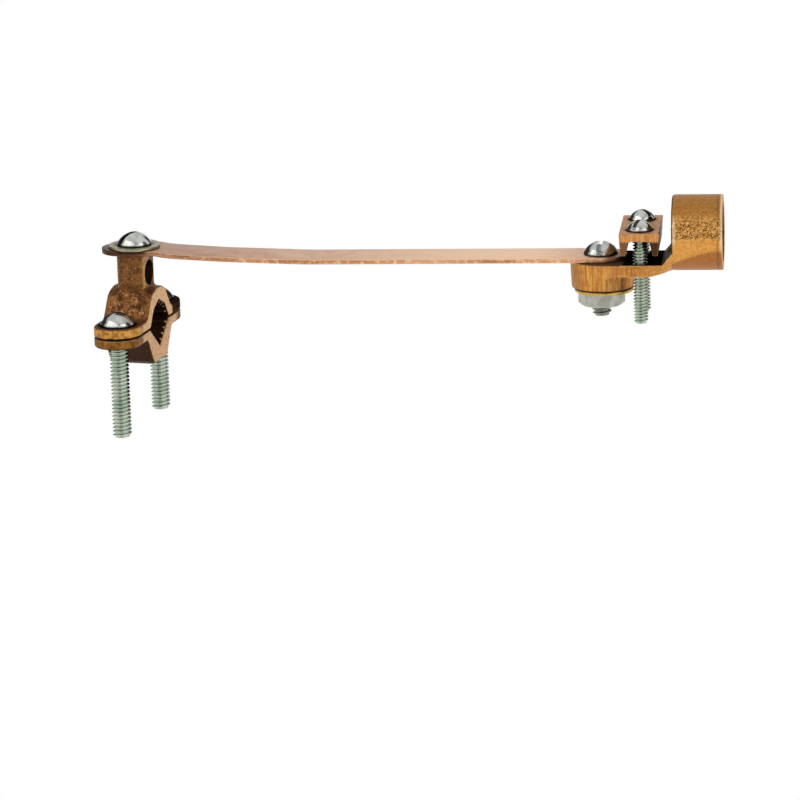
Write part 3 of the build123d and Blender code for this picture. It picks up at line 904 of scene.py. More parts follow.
def jaw(node, low, high, gilt):
    """One jaw; its ears' rims lie between the heights low and high and show this share of bright gold."""
    piece = cast_body(node, *JAW_SKIN)
    places, directions = points_of(piece.data), normals_of(piece.data)
    x, y, z = places.T
    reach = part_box(node)[1].x
    slope = smooth_rise(-directions[:, 1], *FACING["slope to the front"])
    slope *= smooth_rise(directions[:, 2], *FACING["slope upwards"])
    slope *= smooth_rise(reach - SLOPE_MARGIN - np.abs(x), 0, SLOPE_FADE)
    slope *= (y < -SLOPE_START) * (z > high + SLOPE_FOOT)
    seam = (y < 0) * smooth_rise(z, CROWN_HIGH, CROWN_HIGH + MM) * ridge(x, 0, SEAM_WIDE)
    rise = slope * soft_noise(places, SLOPE_WAVES, 9) * SLOPE_HIGH + seam * SEAM_HIGH
    worked = places + directions * rise[:, None]
    worked[:, 2] = np.minimum(worked[:, 2], POST_TOP - STRAP_ROOM)
    put_points(piece.data, worked)

    sideways = np.abs(directions[:, 0])
    end_starts = reach - END_FADE[0]
    ends = smooth_rise(sideways, *FACING["jaw's end"])
    ends *= smooth_rise(np.abs(x), end_starts, reach - END_FADE[1])
    vee = np.abs(y) * VEE_LEAN + np.abs(z - (low + high) / 2) < VEE_REACH
    in_vee = vee * (np.abs(z) < VEE_HIGH)
    ridges = in_vee * smooth_rise(sideways, *FACING["ridge's end"]) * (np.abs(x) > end_starts)
    ends = most(ends, ridges)
    # Black painted shade inside the vee and the wire hole, kept off the ends
    inside = in_vee * (1 - smooth_rise(sideways, *FACING["vee"]))
    wire_hole = np.hypot(y, z - WIRE_AXIS) < WIRE_HOLE_REACH
    wire_hole = wire_hole * (1 - smooth_rise(sideways, *FACING["wire hole"]))
    shade = INSIDE_SHADE * most(inside, wire_hole) * (1 - ends)
    level = upright(directions, "ear's rim") * (z > low) * (z < high)
    rim = level * smooth_rise(np.abs(y), *RIM_FADE)
    # Painted shade round the heads' seats, and on the rear ear's side and top
    if node == "upper_jaw":
        seats = [seat_shade(places, directions, screw, QUARTER["rim"], EAR_SEAT_END)
                 for screw in ("clamp_screw_front", "clamp_screw_rear")]
        behind = level * smooth_rise(y, *REAR_EAR_FADE) * smooth_rise(x, 0, REAR_EAR_SIDE)
        top = (z > high - REAR_EAR_TOP[0]) * (z < high + REAR_EAR_TOP[1])
        top = top * (x > REAR_EAR_SIDE / 2) * (y > REAR_EAR_FADE[1])
        shade = most(shade, *seats, REAR_EAR_SHADE * most(behind, top))
    # A painted highlight along the edges of the post's flats
    flat_edge = (z > CROWN_HIGH) * (y < 0) * ridge(np.abs(x), FLAT_EDGE_AT, FLAT_EDGE_WIDE)
    paint(piece, "end_face", ends * (1 - DULL_END * (1 - gilt)))
    paint(piece, "ear_rim", rim)
    paint(piece, "gilt", rim * gilt)
    paint(piece, "rough", slope)
    paint(piece, "wear_and_highlight", FLAT_EDGE_HIGHLIGHT * flat_edge)
    paint(piece, "shade", shade)
    return dress(piece, JAW_BRONZE, node, "jaw_bronze", node)


jaw("upper_jaw", -RIM_MARGIN, EAR_THICK + RIM_MARGIN, UPPER_GILT)
jaw("lower_jaw", LOWER_TOP - EAR_THICK - RIM_MARGIN, LOWER_TOP + RIM_MARGIN, LOWER_GILT)


# Hub and saddle

def along_strap(places):
    """How far places lie along the strap's direction and across it."""
    return (places[:, 0] * ALONG[0] + places[:, 1] * ALONG[1],
            places[:, 1] * ALONG[0] - places[:, 0] * ALONG[1])


def hub():
    """The hub, its colours laid out from the bolt's axis and from the ring's."""
    piece = cast_body("hub", *HUB_SKIN)
    places, directions = points_of(piece.data), normals_of(piece.data)
    from_bolt = places - np.array(HUB_AXIS)
    along, across = along_strap(from_bolt)
    drop, up = -from_bolt[:, 2], places[:, 2] - RING_AXIS.z
    mouth = along.max()
    throat = mouth - RING_BORE_LONG
    off_ring_axis = np.hypot(across, up)
    ring_skin = smooth_rise(along, *RING_START)
    ring_skin *= smooth_rise(off_ring_axis, RING_BORE + RING_WALL[0], RING_BORE + RING_WALL[1])
    band = ring_skin * span(up, *WRINKLE_BAND)
    own = np.stack([along, across, from_bolt[:, 2]], axis=1)
    wrinkles = soft_noise(own * WRINKLE_SQUASH, WRINKLE_WAVES, 5)
    bore = smooth_rise(along, throat, throat + THROAT_FADE)
    bore *= 1 - smooth_rise(off_ring_axis, RING_BORE + BORE_WALL[0], RING_BORE + BORE_WALL[1])
    wound = along / CONDUIT_PITCH - np.arctan2(up, across) / (2 * math.pi)
    groove = bore * smooth_rise(np.abs(2 * (wound - np.floor(wound)) - 1), 0.1, 0.9)
    rise = band * wrinkles * WRINKLE_HIGH - groove * CONDUIT_DEEP
    put_points(piece.data, places + directions * rise[:, None])

    # Painted reflections on the ring: a darker belly under a curved line, and a brighter band below the
    # wrinkles
    from_mouth = np.clip((mouth - along) / BELLY_LONG, 0, 1)
    waterline = BELLY_AT_MOUTH - BELLY_DROP * from_mouth ** BELLY_CURVE
    belly = ring_skin * (1 - smooth_rise(up, waterline - BELLY_FADE[0], waterline + BELLY_FADE[1]))
    bright = ring_skin * (1 - smooth_rise(up, *BRIGHT_END)) * (1 - belly)
    # The mouth, bright with wear and a painted highlight, a line of painted shade inside it, and the lip's
    # painted highlight
    rim = ring_skin * smooth_rise(along, mouth - MOUTH_WEAR_AND_HIGHLIGHT[0], mouth - MOUTH_WEAR_AND_HIGHLIGHT[1])
    line = ring_skin * ridge(along, mouth - LINE_INSIDE, LINE_WIDE)
    lip = ring_skin * (1 - smooth_rise(along, *LIP_END)) * span(up, *LIP_BAND)
    boss_side = smooth_rise(drop, *BOSS_SIDE_DROP) * smooth_rise(np.hypot(along, across), *BOSS_SIDE_OUT)
    boss_side *= upright(directions, "boss's side") * (1 - smooth_rise(along, *BOSS_SIDE_END))
    # A shallow pocket drawn only in painted shade, with a darker step at its edge, and painted shade at the
    # boss's foot
    low_part = boss_side * smooth_rise(drop, *POCKET_DROP) * (across < 0)
    pocket = low_part * span(along, *POCKET_SPAN)
    step = low_part * ridge(along, POCKET_STEP_AT, POCKET_STEP_WIDE)
    foot = smooth_rise(drop, BOSS_DEEP - BOSS_FOOT[0], BOSS_DEEP - BOSS_FOOT[1]) * (along < BOSS_FOOT_END)
    # Painted shadow on the plate's top, on the ramp up to the ring and in the seam under the strap
    plate_top = smooth_rise(directions[:, 2], *FACING["plate's top"]) * smooth_rise(along, *PLATE_TOP)
    plate_top *= (1 - PLATE_RAMP_LIFT * smooth_rise(along, *PLATE_RAMP)
                  - (1 - PLATE_RAMP_LIFT) * smooth_rise(along, *PLATE_END))
    ramp = span(along, *RAMP_SPAN) * smooth_rise(-(directions @ ALONG), *FACING["plate's ramp"])
    ramp *= drop < RAMP_FOOT
    seam = (drop < STRAP_SEAM) * (along < STRAP_SEAM_END)
    # Painted shade on the ring's top and on the boss's far end
    darker_tone = ring_skin * smooth_rise(up, *RING_SHADE_START)
    darker_tone += BOSS_SHADE_END_SHARE * boss_side * smooth_rise(-along, *BOSS_SHADE_END)
    shade = most(plate_top, RAMP_SHADE * ramp, CONDUIT_SHADE * groove, BOSS_FOOT_SHADE * foot,
                 STRAP_SEAM_SHADE * seam, LINE_INSIDE_SHADE * line, POCKET_SHADE * pocket,
                 POCKET_STEP_SHADE * step)
    paint(piece, "filed", boss_side)
    paint(piece, "crinkle", band)
    paint(piece, "bright", bright)
    paint(piece, "darker_tone", darker_tone)
    paint(piece, "belly", belly)
    paint(piece, "wear_and_highlight", most(rim * smooth_rise(up, *MOUTH_WEAR_AND_HIGHLIGHT_HIGH), lip))
    paint(piece, "shade", shade)
    return dress(piece, HUB_BRONZE, "hub", "hub_bronze", "hub")


def saddle():
    """The saddle: filed end faces over legs and a channel darkened with painted shade."""
    piece = cast_body("saddle", *SADDLE_SKIN)
    places, directions = points_of(piece.data), normals_of(piece.data)
    along, _ = along_strap(places)
    high = places[:, 2].max()
    ends = smooth_rise(np.abs(directions @ ACROSS), *FACING["saddle's end"])
    roof = smooth_rise(places[:, 2], high - SADDLE_ROOF[0], high - SADDLE_ROOF[1])
    # Painted shade on the legs, less on the near leg's end, in the channel and round the heads
    inside = smooth_rise(CHANNEL_HALF - np.abs(along - along.mean()), 0, CHANNEL_FADE) * (1 - roof)
    near_leg = along < along.mean()
    legs = (LEG_SHADE + LEG_END_SHADE * ends * np.where(near_leg, NEAR_LEG_SHARE, 1.0)) * (1 - roof)
    seats = [seat_shade(places, directions, screw, TEN["rim"])
             for screw in ("saddle_screw_front", "saddle_screw_rear")]
    paint(piece, "filed", ends * roof)
    paint(piece, "shade", most(legs, inside * (1 - ends * near_leg), *seats))
    return dress(piece, SADDLE_BRONZE, "saddle", "saddle_bronze", "saddle")


hub()
saddle()


# Geometry nodes: helpers that write their trees

def tree_ends(tree, inputs):
    """Gives a tree its geometry input, its named inputs and its output; returns the inputs' sockets."""
    tree.interface.new_socket("Geometry", in_out="INPUT", socket_type="NodeSocketGeometry")
    for label, kind, value in inputs:
        socket = tree.interface.new_socket(label, in_out="INPUT", socket_type=kind)
        if value is not None:
            socket.default_value = value
    tree.interface.new_socket("Geometry", in_out="OUTPUT", socket_type="NodeSocketGeometry")
    return tree.nodes.new("NodeGroupInput").outputs


def end_tree(tree, geometry, material):
    real = add(tree, "GeometryNodeRealizeInstances", {"Geometry": geometry})
    done = add(tree, "GeometryNodeSetMaterial", {"Geometry": real.outputs[0], "Material": material})
    tree.links.new(done.outputs[0], tree.nodes.new("NodeGroupOutput").inputs[0])
    return tree


def grown(name, tree, values, start=None):
    """A piece grown by a tree of geometry nodes from a starting mesh, as a plain closed mesh."""
    piece = piece_from(name, start or bpy.data.meshes.new(name))
    modifier = piece.modifiers.new("Grown", "NODES")
    modifier.node_group = tree
    for socket in tree.interface.items_tree:
        if socket.in_out == "INPUT" and socket.name in values:
            modifier[socket.identifier] = values[socket.name]
    baked(piece)
    with opened(piece.data) as shell:
        bmesh.ops.recalc_face_normals(shell, faces=shell.faces)
    return piece


def divided(tree, first, second):
    return maths(tree, "DIVIDE", first, second)


def nearest(tree, value):
    return maths(tree, "ROUND", value)


def whole(tree, value):
    return maths(tree, "FLOOR", value)


def parts_of(tree, vector):
    return add(tree, "ShaderNodeSeparateXYZ", {0: vector}).outputs


def vector_of(tree, parts):
    """A vector from its parts, each given by its order: 0, 1 or 2."""
    return add(tree, "ShaderNodeCombineXYZ", parts).outputs[0]


def unit_grid(tree, columns, rows):
    """A flat grid, and where each of its points lies in it: two shares from 0 to 1."""
    grid = add(tree, "GeometryNodeMeshGrid",
               {"Size X": 1.0, "Size Y": 1.0, "Vertices X": columns, "Vertices Y": rows})
    spot = parts_of(tree, tree.nodes.new("GeometryNodeInputPosition").outputs[0])
    return grid.outputs[0], plus(tree, spot[0], 0.5), plus(tree, spot[1], 0.5)


def closed_smooth(tree, geometry):
    """Joins points that meet and shades all faces smooth."""
    closed = add(tree, "GeometryNodeMergeByDistance", {"Geometry": geometry, "Distance": 2 * MERGE})
    smooth = {"Geometry": closed.outputs[0], "Shade Smooth": True}
    return add(tree, "GeometryNodeSetShadeSmooth", smooth, domain="FACE").outputs[0]


# Strap, washers and nut: sharp stampings with their edges eased

def drill(piece, middle):
    """A plain hole for a quarter inch screw, straight down through the strap."""
    bit = bmesh.new()
    bmesh.ops.create_cone(bit, cap_ends=True, segments=HOLE_SIDES, radius1=CLEAR_HOLE, radius2=CLEAR_HOLE,
                          depth=20 * MM, matrix=Matrix.Translation((middle.x, middle.y, POST_TOP)))
    cut_by(piece, bit)
    piece.data.set_sharp_from_angle(angle=math.radians(50))


def eased(node, name, width):
    """A copy of a stamped piece with its flat faces whole again and its edges rounded."""
    piece = merged_copy(node, name)
    with opened(piece.data) as shell:
        bmesh.ops.dissolve_limit(shell, angle_limit=math.radians(0.5), verts=shell.verts, edges=shell.edges)
    return bevelled(piece, width, segments=3, angle=35)


def strap_tree():
    """A flat bar with rounded ends and edges, drawn along the tree's geometry, a station for each point."""
    tree = bpy.data.node_groups.new("Bent flat bar", "GeometryNodeTree")
    given = tree_ends(tree, (
        ("Width", FLOAT, 15.9 * MM), ("Thickness", FLOAT, 1.6 * MM), ("Edge Round", FLOAT, 0.2 * MM),
        ("Corner Points", COUNT, 4), ("Turn", FLOAT, 0.0), ("Material", MATERIAL, None),
    ))
    path, edge, corners = given["Geometry"], given["Edge Round"], given["Corner Points"]
    count = add(tree, "GeometryNodeAttributeDomainSize", {"Geometry": path}, component="MESH")
    count = count.outputs["Point Count"]
    around = times(tree, corners, 4.0)
    grid, long_share, round_share = unit_grid(tree, count, plus(tree, around, 1.0))
    station = nearest(tree, times(tree, long_share, minus(tree, count, 1.0)))
    step = nearest(tree, times(tree, round_share, around))
    where = tree.nodes.new("GeometryNodeInputPosition").outputs[0]
    point = add(tree, "GeometryNodeSampleIndex", {"Geometry": path, "Value": where, "Index": station},
                data_type="FLOAT_VECTOR", domain="POINT").outputs[0]
    point = parts_of(tree, point)
    along = {"Geometry": path, "Attribute": parts_of(tree, where)[0]}
    ends = add(tree, "GeometryNodeAttributeStatistic", along, data_type="FLOAT", domain="POINT").outputs

    # How far the bar reaches to each side of its line, less and less within its round ends
    half = times(tree, given["Width"], 0.5)
    before = minus(tree, plus(tree, ends["Min"], half), point[0])
    after = minus(tree, point[0], minus(tree, ends["Max"], half))
    past = larger(tree, larger(tree, before, after), 0.0)
    left = minus(tree, times(tree, half, half), times(tree, past, past))
    reach = maths(tree, "SQRT", larger(tree, left, 0.0))

    # Each station's outline: four rounded corners, each with the same number of points
    corner = whole(tree, divided(tree, plus(tree, step, 0.5), corners))
    share = divided(tree, minus(tree, step, times(tree, corner, corners)), minus(tree, corners, 1.0))
    angle = times(tree, plus(tree, corner, share), math.pi / 2)
    diagonal = times(tree, plus(tree, corner, 0.5), math.pi / 2)
    side = maths(tree, "SIGN", maths(tree, "COSINE", diagonal))
    level = maths(tree, "SIGN", maths(tree, "SINE", diagonal))
    out = plus(tree, times(tree, side, larger(tree, minus(tree, reach, edge), 0.0)),
               times(tree, smaller(tree, reach, edge), maths(tree, "COSINE", angle)))
    half_thick = times(tree, given["Thickness"], 0.5)
    up = plus(tree, times(tree, level, minus(tree, half_thick, edge)),
              times(tree, edge, maths(tree, "SINE", angle)))
    up = plus(tree, plus(tree, point[2], half_thick), up)
    place = vector_of(tree, {0: point[0], 1: out, 2: up})
    bent = add(tree, "GeometryNodeSetPosition", {"Geometry": grid, "Position": place})
    placed = add(tree, "GeometryNodeTransform", {"Geometry": closed_smooth(tree, bent.outputs[0]),
                                                 "Rotation": vector_of(tree, {2: given["Turn"]})})
    return end_tree(tree, placed.outputs[0], given["Material"])


def strap_path():
    """The underside's line, read from the CAD strap's long edges and eased between its facets."""
    places = points_of(frame["nodes"]["strap"].data)
    along, out = along_strap(places)
    half = out.max()
    side = out > half - MERGE
    order = np.argsort(along[side], kind="stable")
    known, heights = along[side][order], places[side, 2][order]
    spans = np.unique(np.round(known, 6))
    under = np.array([heights[np.abs(known - at) < 10 * MERGE].min() for at in spans])
    start, end = along.min(), along.max()
    even = np.arange(start - SAMPLES_PAST, end + SAMPLES_PAST, SAMPLE)
    line = np.interp(even, spans, under)
    window = np.exp(-0.5 * (np.arange(-EASE_REACH, EASE_REACH + 1) / EASE_SPREAD) ** 2)
    line = np.convolve(np.pad(line, EASE_REACH, mode="edge"), window / window.sum(), mode="valid")
    seated = 1 - smooth_rise(np.abs(even), *SEATED)
    line += seated * np.maximum(POST_TOP - line, 0)
    ends = half * (1 - np.cos(np.linspace(0, math.pi / 2, END_STEPS)))
    middle = np.arange(start + half + STATION, end - half, STATION)
    stations = np.concatenate([start + ends, middle, (end - ends)[::-1]])
    return stations, np.interp(stations, even, line), half


def strap():
    """The strap: a bar bent along its path, drilled for both screws, discoloured and in painted shade at
    the post.
    """
    stations, heights, half = strap_path()
    mesh = bpy.data.meshes.new("strap_path")
    points = [(x, 0, z) for x, z in zip(stations, heights)]
    mesh.from_pydata(points, [(index, index + 1) for index in range(len(points) - 1)], [])
    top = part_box("strap")[1].z
    piece = grown("copper_strap", strap_tree(), {
        "Width": 2 * half, "Thickness": top - POST_TOP, "Edge Round": STRAP_EDGE,
        "Corner Points": STRAP_CORNER_POINTS, "Turn": STRAP_TURN, "Material": STRAP_COPPER}, mesh)
    for middle in (Vector((0, 0, 0)), HUB_AXIS):
        drill(piece, middle)
    places, directions = points_of(piece.data), normals_of(piece.data)
    flat = np.abs(directions[:, 2])
    along, _ = along_strap(places)
    # Tarnish and painted shade, darkest at the post and at the nose by the hub
    tarnish_and_shade = (1 - (1 - TARNISH_AND_SHADE_FAR_SHARE) * smooth_rise(along, *TARNISH_AND_SHADE_NEAR)
               - TARNISH_AND_SHADE_FAR_SHARE * smooth_rise(along, *TARNISH_AND_SHADE_FAR))
    nose = smooth_rise(along, STRAP_SPAN + NOSE_FADE[0], STRAP_SPAN + NOSE_FADE[1])
    under_washer = 1 - smooth_rise(np.hypot(places[:, 0], places[:, 1]), *WASHER_SHADOW)
    under_washer = under_washer * (places[:, 2] > top - WASHER_SHADOW_DEEP)
    tail = 1 - smooth_rise(along, *TAIL_FADE)
    seat = seat_shade(places, directions, "hub_bolt", QUARTER["rim"])
    paint(piece, "side", 1 - smooth_rise(flat, *FACING["strap's side"]))
    paint(piece, "edge", span(flat, *FACING["strap's edge"]))
    paint(piece, "tarnish_and_shade", most(tarnish_and_shade, NOSE_TARNISH_AND_SHADE * nose))
    # A painted highlight on the part towards the hub
    paint(piece, "bright", span(along, *BRIGHT_SPAN))
    paint(piece, "shade", most(seat, WASHER_SHADOW_SHADE * under_washer, TAIL_SHADE * tail))
    return dress(piece, STRAP_COPPER, "strap", "strap_copper", "strap")


def post_washer():
    """The dull washer, its faces cut small enough for the shade round the head to be painted."""
    piece = eased("post_washer", "post_washer_disc", POST_WASHER_EASE)
    with opened(piece.data) as shell:
        bmesh.ops.triangulate(shell, faces=[face for face in shell.faces if len(face.verts) > 4])
        long_edges = [edge for edge in shell.edges if edge.calc_length() > 2 * MM]
        bmesh.ops.subdivide_edges(shell, edges=long_edges, cuts=3)
    places, directions = points_of(piece.data), normals_of(piece.data)
    paint(piece, "shade", seat_shade(places, directions, "post_screw", QUARTER["rim"]))
    return dress(piece, DULL_ZINC, "post_washer", "dull_washer", "post_washer")


def hub_washer():
    """The brass washer, dark at the top where the boss keeps the light off."""
    piece = eased("hub_washer", "hub_washer_disc", HUB_WASHER_EASE)
    heights = points_of(piece.data)[:, 2]
    top = heights.max()
    paint(piece, "shade", smooth_rise(heights, top - HUB_WASHER_SHADOW[0], top - HUB_WASHER_SHADOW[1]))
    return dress(piece, WASHER_BRASS, "hub_washer", "brass_washer", "hub_washer")


strap()
post_washer()
hub_washer()
dress(eased("hub_nut", "hub_nut_hexagon", NUT_EASE), NUT_ZINC, "hub_nut", "zinc_nut", "hub_nut")


# Screws

def thread_tree():
    """A right-handed thread standing on its tip at z = 0: a grid wound round and pulled into a helix."""
    tree = bpy.data.node_groups.new("Machine screw thread", "GeometryNodeTree")
    given = tree_ends(tree, (
        ("Length", FLOAT, 20 * MM), ("Crest Radius", FLOAT, 3 * MM), ("Root Radius", FLOAT, 2.4 * MM),
        ("Pitch", FLOAT, 1.27 * MM), ("Sides", COUNT, THREAD_SIDES), ("Place", VECTOR, (0, 0, 0)),
        ("Material", MATERIAL, None),
    ))
    long, pitch, sides = given["Length"], given["Pitch"], given["Sides"]
    tip = times(tree, given["Root Radius"], TIP_SHARE)

    # Four rows a turn: at 0 and 1/8 of the pitch on the crest, at 7/16 and 11/16 in the root
    turns = plus(tree, maths(tree, "CEIL", divided(tree, long, pitch)), 1.0)
    rows = times(tree, turns, 4.0)
    grid, round_share, high_share = unit_grid(tree, plus(tree, sides, 1.0), plus(tree, rows, 1.0))
    row = nearest(tree, times(tree, high_share, rows))
    turn = whole(tree, divided(tree, plus(tree, row, 0.5), 4.0))
    step = minus(tree, row, times(tree, turn, 4.0))
    in_root = maths(tree, "GREATER_THAN", step, 1.5)
    last = maths(tree, "GREATER_THAN", step, 2.5)
    share = plus(tree, times(tree, step, 1 / 8), times(tree, in_root, 3 / 16))
    share = plus(tree, share, times(tree, last, 1 / 8))
    wound = plus(tree, plus(tree, turn, share), minus(tree, round_share, 1.0))
    up = smaller(tree, larger(tree, times(tree, wound, pitch), 0.0), long)

    # How far out each row lies: crest or root, drawn in towards both ends
    deep = minus(tree, given["Crest Radius"], given["Root Radius"])
    wall = minus(tree, given["Crest Radius"], times(tree, in_root, deep))
    from_tip = plus(tree, tip, times(tree, up, TIP_SLOPE))
    from_top = plus(tree, tip, times(tree, minus(tree, long, up), TIP_SLOPE))
    radius = smaller(tree, wall, smaller(tree, from_tip, from_top))
    angle = times(tree, round_share, 2 * math.pi)
    place = vector_of(tree, {0: times(tree, radius, maths(tree, "COSINE", angle)),
                             1: times(tree, radius, maths(tree, "SINE", angle)), 2: up})
    marks = {"Geometry": grid, "Name": "root", "Value": in_root}
    marked = add(tree, "GeometryNodeStoreNamedAttribute", marks, data_type="FLOAT", domain="POINT")
    wrapped = add(tree, "GeometryNodeSetPosition", {"Geometry": marked.outputs[0], "Position": place})

    joined = add(tree, "GeometryNodeJoinGeometry")
    tree.links.new(wrapped.outputs[0], joined.inputs[0])
    for height in (0.0, long):
        disc = add(tree, "GeometryNodeMeshCircle", {"Vertices": sides, "Radius": tip}, fill_type="NGON")
        cap = add(tree, "GeometryNodeTransform",
                  {"Geometry": disc.outputs[0], "Translation": vector_of(tree, {2: height})})
        tree.links.new(cap.outputs[0], joined.inputs[0])
    steep = maths(tree, "GREATER_THAN", tree.nodes.new("GeometryNodeInputMeshEdgeAngle").outputs[0], 0.5)
    sharp = {"Geometry": closed_smooth(tree, joined.outputs[0]), "Selection": steep, "Shade Smooth": False}
    crisp = add(tree, "GeometryNodeSetShadeSmooth", sharp, domain="EDGE").outputs[0]
    placed = add(tree, "GeometryNodeTransform", {"Geometry": crisp, "Translation": given["Place"]})
    return end_tree(tree, placed.outputs[0], given["Material"])


def head(name, size, seat, turn):
    """A slotted round head: a domed profile spun round, its slot cut and its edges eased."""
    rim, high = size["rim"], size["high"]
    rise = high - HEAD_BAND
    dome = (rim * rim + rise * rise) / (2 * rise)
    sweep = math.asin(rim / dome)
    profile = [(0, 0), (rim - HEAD_FOOT[0], 0), (rim, HEAD_FOOT[1]), (rim, HEAD_BAND)]
    for index in range(1, DOME_STEPS + 1):
        angle = sweep * (1 - index / DOME_STEPS)
        profile.append((dome * math.sin(angle), high - dome + dome * math.cos(angle)))
    piece = piece_from(name, bpy.data.meshes.new(name))
    with opened(piece.data) as shell:
        ring = [shell.verts.new((x, 0, z)) for x, z in profile]
        lines = [shell.edges.new(pair) for pair in zip(ring, ring[1:])]
        bmesh.ops.spin(shell, geom=ring + lines, cent=(0, 0, 0), axis=(0, 0, 1),
                       angle=2 * math.pi, steps=HEAD_SIDES)
        bmesh.ops.remove_doubles(shell, verts=shell.verts, dist=MERGE)
        bmesh.ops.recalc_face_normals(shell, faces=shell.faces)

    knife = bmesh.new()
    bmesh.ops.create_cube(knife, size=1)
    bmesh.ops.scale(knife, vec=(4 * rim, size["slot"], 2 * size["deep"]), verts=knife.verts)
    turned = Matrix.Translation((0, 0, high)) @ Matrix.Rotation(turn, 4, "Z")
    bmesh.ops.transform(knife, matrix=turned, verts=knife.verts)
    cut_by(piece, knife)
    bevelled(piece, SLOT_EASE, segments=2, angle=40)
    x, y, z = points_of(piece.data).T
    # Painted shade in the slot, a painted dark reflection round the foot, and a painted dark reflection on
    # the rear head's hidden side
    in_slot = np.abs(y * math.cos(turn) - x * math.sin(turn)) < size["slot"] / 2 + SLOT_MARGIN[0]
    in_slot = in_slot * (z < high - size["deep"] + SLOT_MARGIN[1]) * (z > HEAD_BAND + SLOT_MARGIN[1])
    seated = 1 - smooth_rise(z, FOOT_FADE[0] * high, FOOT_FADE[1] * high)
    hidden = smooth_rise(x, *HIDDEN_FADE) * (name == "clamp_screw_rear_head")
    paint(piece, "shade", most(SLOT_SHADE * in_slot, FOOT_SHADE * seated, HIDDEN_SHADE * hidden))
    piece.data.transform(Matrix.Translation(seat))
    return piece


def screws():
    """Every screw: a thread and a head, with painted dark reflections in two bands up the thread."""
    tree = thread_tree()
    for node, body, size, length, turn in SCREWS:
        low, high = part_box(node)
        seat = Vector(((low.x + high.x) / 2, (low.y + high.y) / 2, low.z + length))
        thread = grown(node + "_thread", tree, {
            "Length": length, "Crest Radius": size["radius"],
            "Root Radius": size["radius"] - THREAD_DEPTH * size["pitch"], "Pitch": size["pitch"],
            "Sides": THREAD_SIDES, "Place": (seat.x, seat.y, low.z), "Material": THREAD_ZINC})
        places = points_of(thread.data)
        # Painted dark reflections up the thread: a broad band and a narrow line
        facing = np.arctan2(places[:, 1] - seat.y, places[:, 0] - seat.x) - math.radians(THREAD_FRONT)
        facing = np.degrees(np.angle(np.exp(1j * facing)))
        line = 1 - smooth_rise(np.abs(facing - LINE_AT), *LINE_FADE)
        paint(thread, "shade", most(BROAD_SHADE * span(facing, *BROAD_BAND), LINE_SHADE * line))
        dress(thread, NUT_ZINC if node == "hub_bolt" else THREAD_ZINC, body, "zinc_screw", node)
        dress(head(node + "_head", size, seat, math.radians(turn)), HEAD_ZINC, body, "zinc_screw", node)


screws()


# Stage: a pale floor so far below that the clamp stands clear in white

def stage_white():
    """White to the camera and in reflections, plain pale paint to the lamps."""
    material, tree, shader = finish_shell("Stage white")
    shader.inputs["Base Color"].default_value = (0.85, 0.85, 0.85, 1)
    shader.inputs["Roughness"].default_value = 0.9
    path = tree.nodes.new("ShaderNodeLightPath").outputs
    mirrored = larger(tree, path["Is Glossy Ray"], path["Is Transmission Ray"])
    seen = larger(tree, path["Is Camera Ray"], mirrored)
    glow = add(tree, "ShaderNodeEmission", {"Color": (1, 1, 1, 1), "Strength": 1.0})
    mixed = add(tree, "ShaderNodeMixShader", {0: seen, 1: shader.outputs[0], 2: glow.outputs[0]})
    tree.links.new(mixed.outputs[0], tree.nodes["Material Output"].inputs[0])
    return material


def stage():
    floor = piece_from("stage_floor", bpy.data.meshes.new("stage_floor"))
    with opened(floor.data) as shell:
        bmesh.ops.create_grid(shell, x_segments=1, y_segments=1, size=FLOOR_HALF)
        bmesh.ops.translate(shell, verts=shell.verts, vec=(0, 0, cad_low.z - FLOOR_DROP))
    floor.data.materials.append(stage_white())


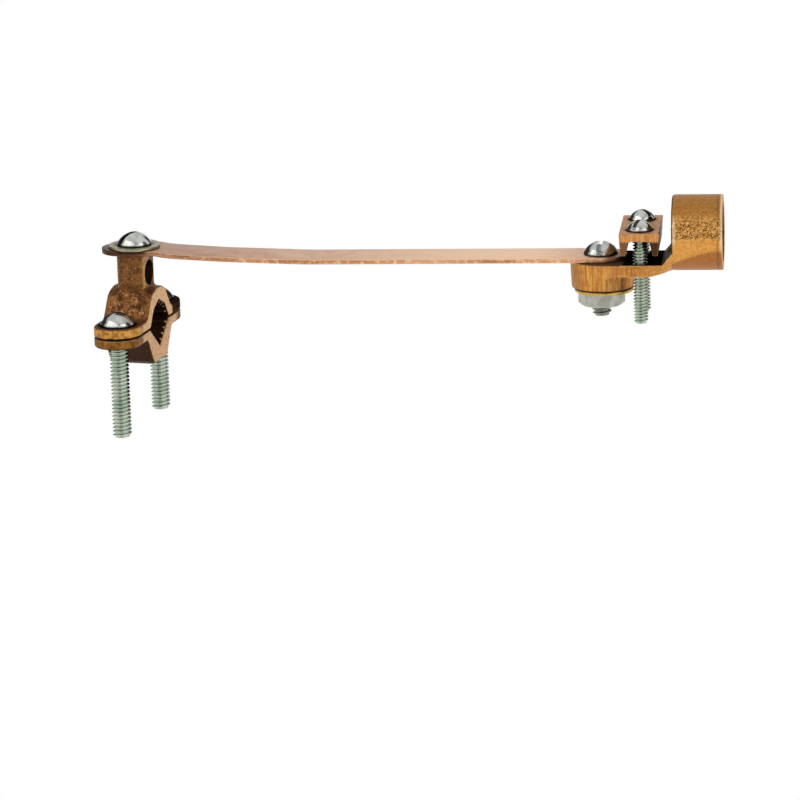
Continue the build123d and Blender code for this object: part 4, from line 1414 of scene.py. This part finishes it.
def camera():
    back = Vector((math.sin(CAMERA_TURN) * math.cos(CAMERA_RISE),
                   -math.cos(CAMERA_TURN) * math.cos(CAMERA_RISE), math.sin(CAMERA_RISE)))
    right = Vector((math.cos(CAMERA_TURN), math.sin(CAMERA_TURN), 0))
    up = back.cross(right)
    side = math.cos(CAMERA_ROLL) * right + math.sin(CAMERA_ROLL) * up
    top = -math.sin(CAMERA_ROLL) * right + math.cos(CAMERA_ROLL) * up
    data = bpy.data.cameras.new("Camera")
    data.sensor_width = 36
    data.lens = LENS_PIXELS / PICTURE * data.sensor_width
    data.clip_start, data.clip_end = 0.05, 20
    eye = bpy.data.objects.new("Camera", data)
    turned = Matrix((side, top, back)).transposed().to_4x4()
    eye.matrix_world = Matrix.Translation(CAMERA_AIM + CAMERA_FAR * back) @ turned
    scene.collection.objects.link(eye)
    scene.camera = eye
    return back


def lamp(name, place, aim, size, power):
    data = bpy.data.lights.new(name, "AREA")
    data.shape = "RECTANGLE"
    data.size, data.size_y = size
    data.energy = power
    light = bpy.data.objects.new(name, data)
    light.location = place
    light.rotation_mode = "QUATERNION"
    light.rotation_quaternion = (Vector(aim) - Vector(place)).to_track_quat("-Z", "Y")
    scene.collection.objects.link(light)


def world(towards_camera):
    """A white tent, dark towards the camera and at the upright gaps round it."""
    sky = bpy.data.worlds.new("White tent")
    sky.use_nodes = True
    tree = sky.node_tree
    shader = tree.nodes["Background"]
    way = add(tree, "ShaderNodeTexCoord").outputs["Generated"]

    def share_of(direction):
        node = add(tree, "ShaderNodeVectorMath", {0: way, 1: tuple(direction)}, operation="DOT_PRODUCT")
        return node.outputs["Value"]
    tent = steps(tree, share_of(towards_camera), *TENT_FRONT, TENT_LIGHT, TENT_DARK)
    level = Vector((towards_camera.x, towards_camera.y, 0)).normalized()
    right = Vector((-level.y, level.x, 0))
    around = maths(tree, "ARCTAN2", share_of(right), share_of(level))
    rise = parts_of(tree, way)[2]
    for middle, half, top in TENT_GAPS:
        low_enough = steps(tree, rise, top, top + GAP_TOP_FADE, 1.0, 0.0)
        away = maths(tree, "ABSOLUTE", minus(tree, around, math.radians(middle)))
        gap = steps(tree, away, math.radians(half - GAP_FADE), math.radians(half + GAP_FADE), 1.0, 0.0)
        gap = times(tree, gap, low_enough)
        tent = times(tree, tent, minus(tree, 1.0, times(tree, gap, GAP_SHADE)))
    path = tree.nodes.new("ShaderNodeLightPath").outputs
    shown = larger(tree, tent, path["Is Camera Ray"])
    tree.links.new(shown, shader.inputs["Strength"])
    shader.inputs["Color"].default_value = (1, 1, 1, 1)
    scene.world = sky


stage()
world(camera())
for name, place, size, power in LAMPS:
    lamp(name, place, (cad_low + cad_high) / 2, size, power)

scene.view_settings.view_transform = "Standard"
